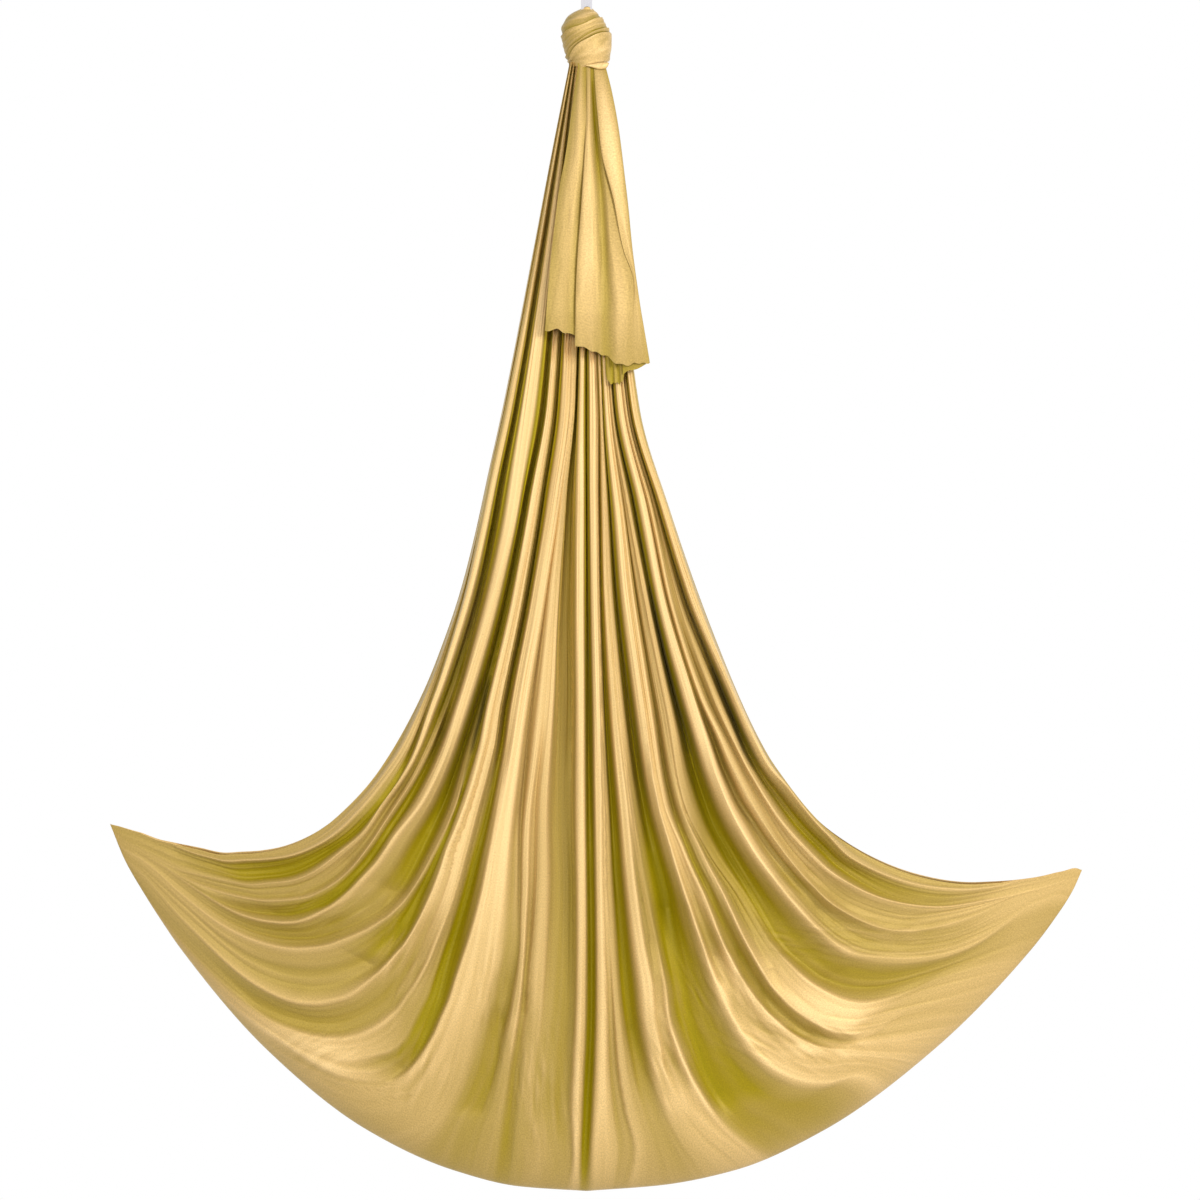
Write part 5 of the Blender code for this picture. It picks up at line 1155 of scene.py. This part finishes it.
def metal(name, colour, roughness, grain):
    """Plated or cast metal with faint grain and uneven shine."""
    material, nodes, links, shader = shader_nodes(name)
    place = nodes.new("ShaderNodeTexCoord")
    noise = nodes.new("ShaderNodeTexNoise")
    set_inputs(noise, {"Scale": grain, "Detail": 4})
    links.new(place.outputs["Object"], noise.inputs["Vector"])
    darker = tuple(0.86 * channel for channel in colour)
    ramp = ramp_node(nodes, [(0.3, darker), (0.7, colour)])
    links.new(noise.outputs["Fac"], ramp.inputs["Fac"])
    links.new(ramp.outputs["Color"], shader.inputs["Base Color"])
    shine = nodes.new("ShaderNodeMapRange")
    set_inputs(shine, {"To Min": roughness - 0.06, "To Max": roughness + 0.08})
    links.new(noise.outputs["Fac"], shine.inputs["Value"])
    links.new(shine.outputs["Result"], shader.inputs["Roughness"])
    add_bump(nodes, links, shader, noise.outputs["Fac"], strength=0.08, distance=0.0002)
    set_inputs(shader, {"Metallic": 1.0})
    return material


def camera():
    """The photograph's view: level, straight from the front and from far off."""
    scene = bpy.context.scene
    data = bpy.data.cameras.new("camera")
    data.lens = LENS_MM
    data.sensor_width = SENSOR_MM
    data.clip_end = 100
    view = link(bpy.data.objects.new("camera", data))
    centre_x = (PHOTO_SIZE / 2 - MIDDLE_COLUMN) * PIXEL
    centre_z = CLOTH_TOP - (PHOTO_SIZE / 2 - KNOT_FOOT_ROW) * PIXEL
    view.location = (centre_x, -CAMERA_DISTANCE, centre_z)
    view.rotation_euler = (math.radians(90), 0, 0)
    scene.camera = view
    scene.render.resolution_x = RENDER_SIZE
    scene.render.resolution_y = RENDER_SIZE


def area_light(name, place, target, size, power):
    """A soft square light at a place, turned to its target."""
    data = bpy.data.lights.new(name, "AREA")
    data.size = size
    data.energy = power
    light = link(bpy.data.objects.new(name, data))
    light.location = place
    light.rotation_euler = (Vector(target) - Vector(place)).to_track_quat("-Z", "Y").to_euler()
    return light


def white_world():
    """Soft light from all sides, in front of a backdrop that is seen as plain white."""
    world = bpy.data.worlds.new("white")
    bpy.context.scene.world = world
    world.use_nodes = True
    nodes = world.node_tree.nodes
    links = world.node_tree.links
    background = nodes["Background"]
    set_inputs(background, {"Color": (1, 1, 1, 1), "Strength": SKY_STRENGTH})
    backdrop = nodes.new("ShaderNodeBackground")
    set_inputs(backdrop, {"Color": (1, 1, 1, 1), "Strength": 1.0})
    path = nodes.new("ShaderNodeLightPath")
    seen = path.outputs["Is Camera Ray"]
    for ray in ("Is Transmission Ray", "Is Glossy Ray"):
        either = nodes.new("ShaderNodeMath")
        either.operation = "MAXIMUM"
        links.new(seen, either.inputs[0])
        links.new(path.outputs[ray], either.inputs[1])
        seen = either.outputs[0]
    mix = nodes.new("ShaderNodeMixShader")
    links.new(seen, mix.inputs["Fac"])
    links.new(background.outputs[0], mix.inputs[1])
    links.new(backdrop.outputs[0], mix.inputs[2])
    links.new(mix.outputs[0], nodes["World Output"].inputs["Surface"])


def surroundings():
    """Pale floor, white backdrop and soft light."""
    bpy.context.scene.view_settings.view_transform = "Standard"
    white_world()
    area_light("key", place=(2.9, -3.4, 0.5), target=(0, 0, -1.5), size=1.2, power=130)
    area_light("front", place=(-1.2, -6.0, 0.4), target=(0, 0, -1.3), size=2.0, power=140)
    back = area_light("back", place=(0.6, 6.0, 0.4), target=(0, 0, -1.3), size=2.0, power=130)
    back.visible_glossy = False
    floor_level = CLOTH_TOP - CLOTH_DROP - FLOOR_BELOW
    bpy.ops.mesh.primitive_circle_add(vertices=64, radius=2.6, fill_type="NGON", location=(0, 0, floor_level))
    floor = bpy.context.object
    floor.name = "floor"
    material, nodes, links, shader = shader_nodes("pale_floor")
    set_inputs(shader, {"Base Color": (0.9, 0.9, 0.9, 1), "Roughness": 0.9})
    floor.data.materials.append(material)


def paint_nodes(steel, bronze, white, cloth):
    """Finishes of the pieces that are shown as they are."""
    finishes = {"thrust_washer": bronze, "sling_strap": white, "strap_lap": white}
    for number in (1, 2, 3):
        finishes[f"bar_tack_{number}"] = white
    for name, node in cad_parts.items():
        if name.startswith(("knot", "front", "back")):
            chosen = cloth
        else:
            chosen = finishes.get(name, steel)
        node.data.materials.clear()
        node.data.materials.append(chosen)


camera()
surroundings()
gold = gold_cloth()
steel = metal("plated_steel", STEEL_COLOUR, roughness=0.46, grain=90)
bronze = metal("bearing_bronze", BRONZE_COLOUR, roughness=0.38, grain=120)
white = webbing()
paint_nodes(steel, bronze, white, gold)
leaf("front_leaf_cloth", facing=-1, seed=3, material=gold)
leaf("back_leaf_cloth", facing=1, seed=8, material=gold)
tail("front_tail_cloth", FRONT_TAIL, TAIL_LIFTS, seed=31, flat=(0.25, 0.50), material=gold)
tail("back_tail_cloth", BACK_TAIL, [(0, 0), (1, 0)], seed=37, flat=(0.042, 0.56), material=gold)
knot(gold)
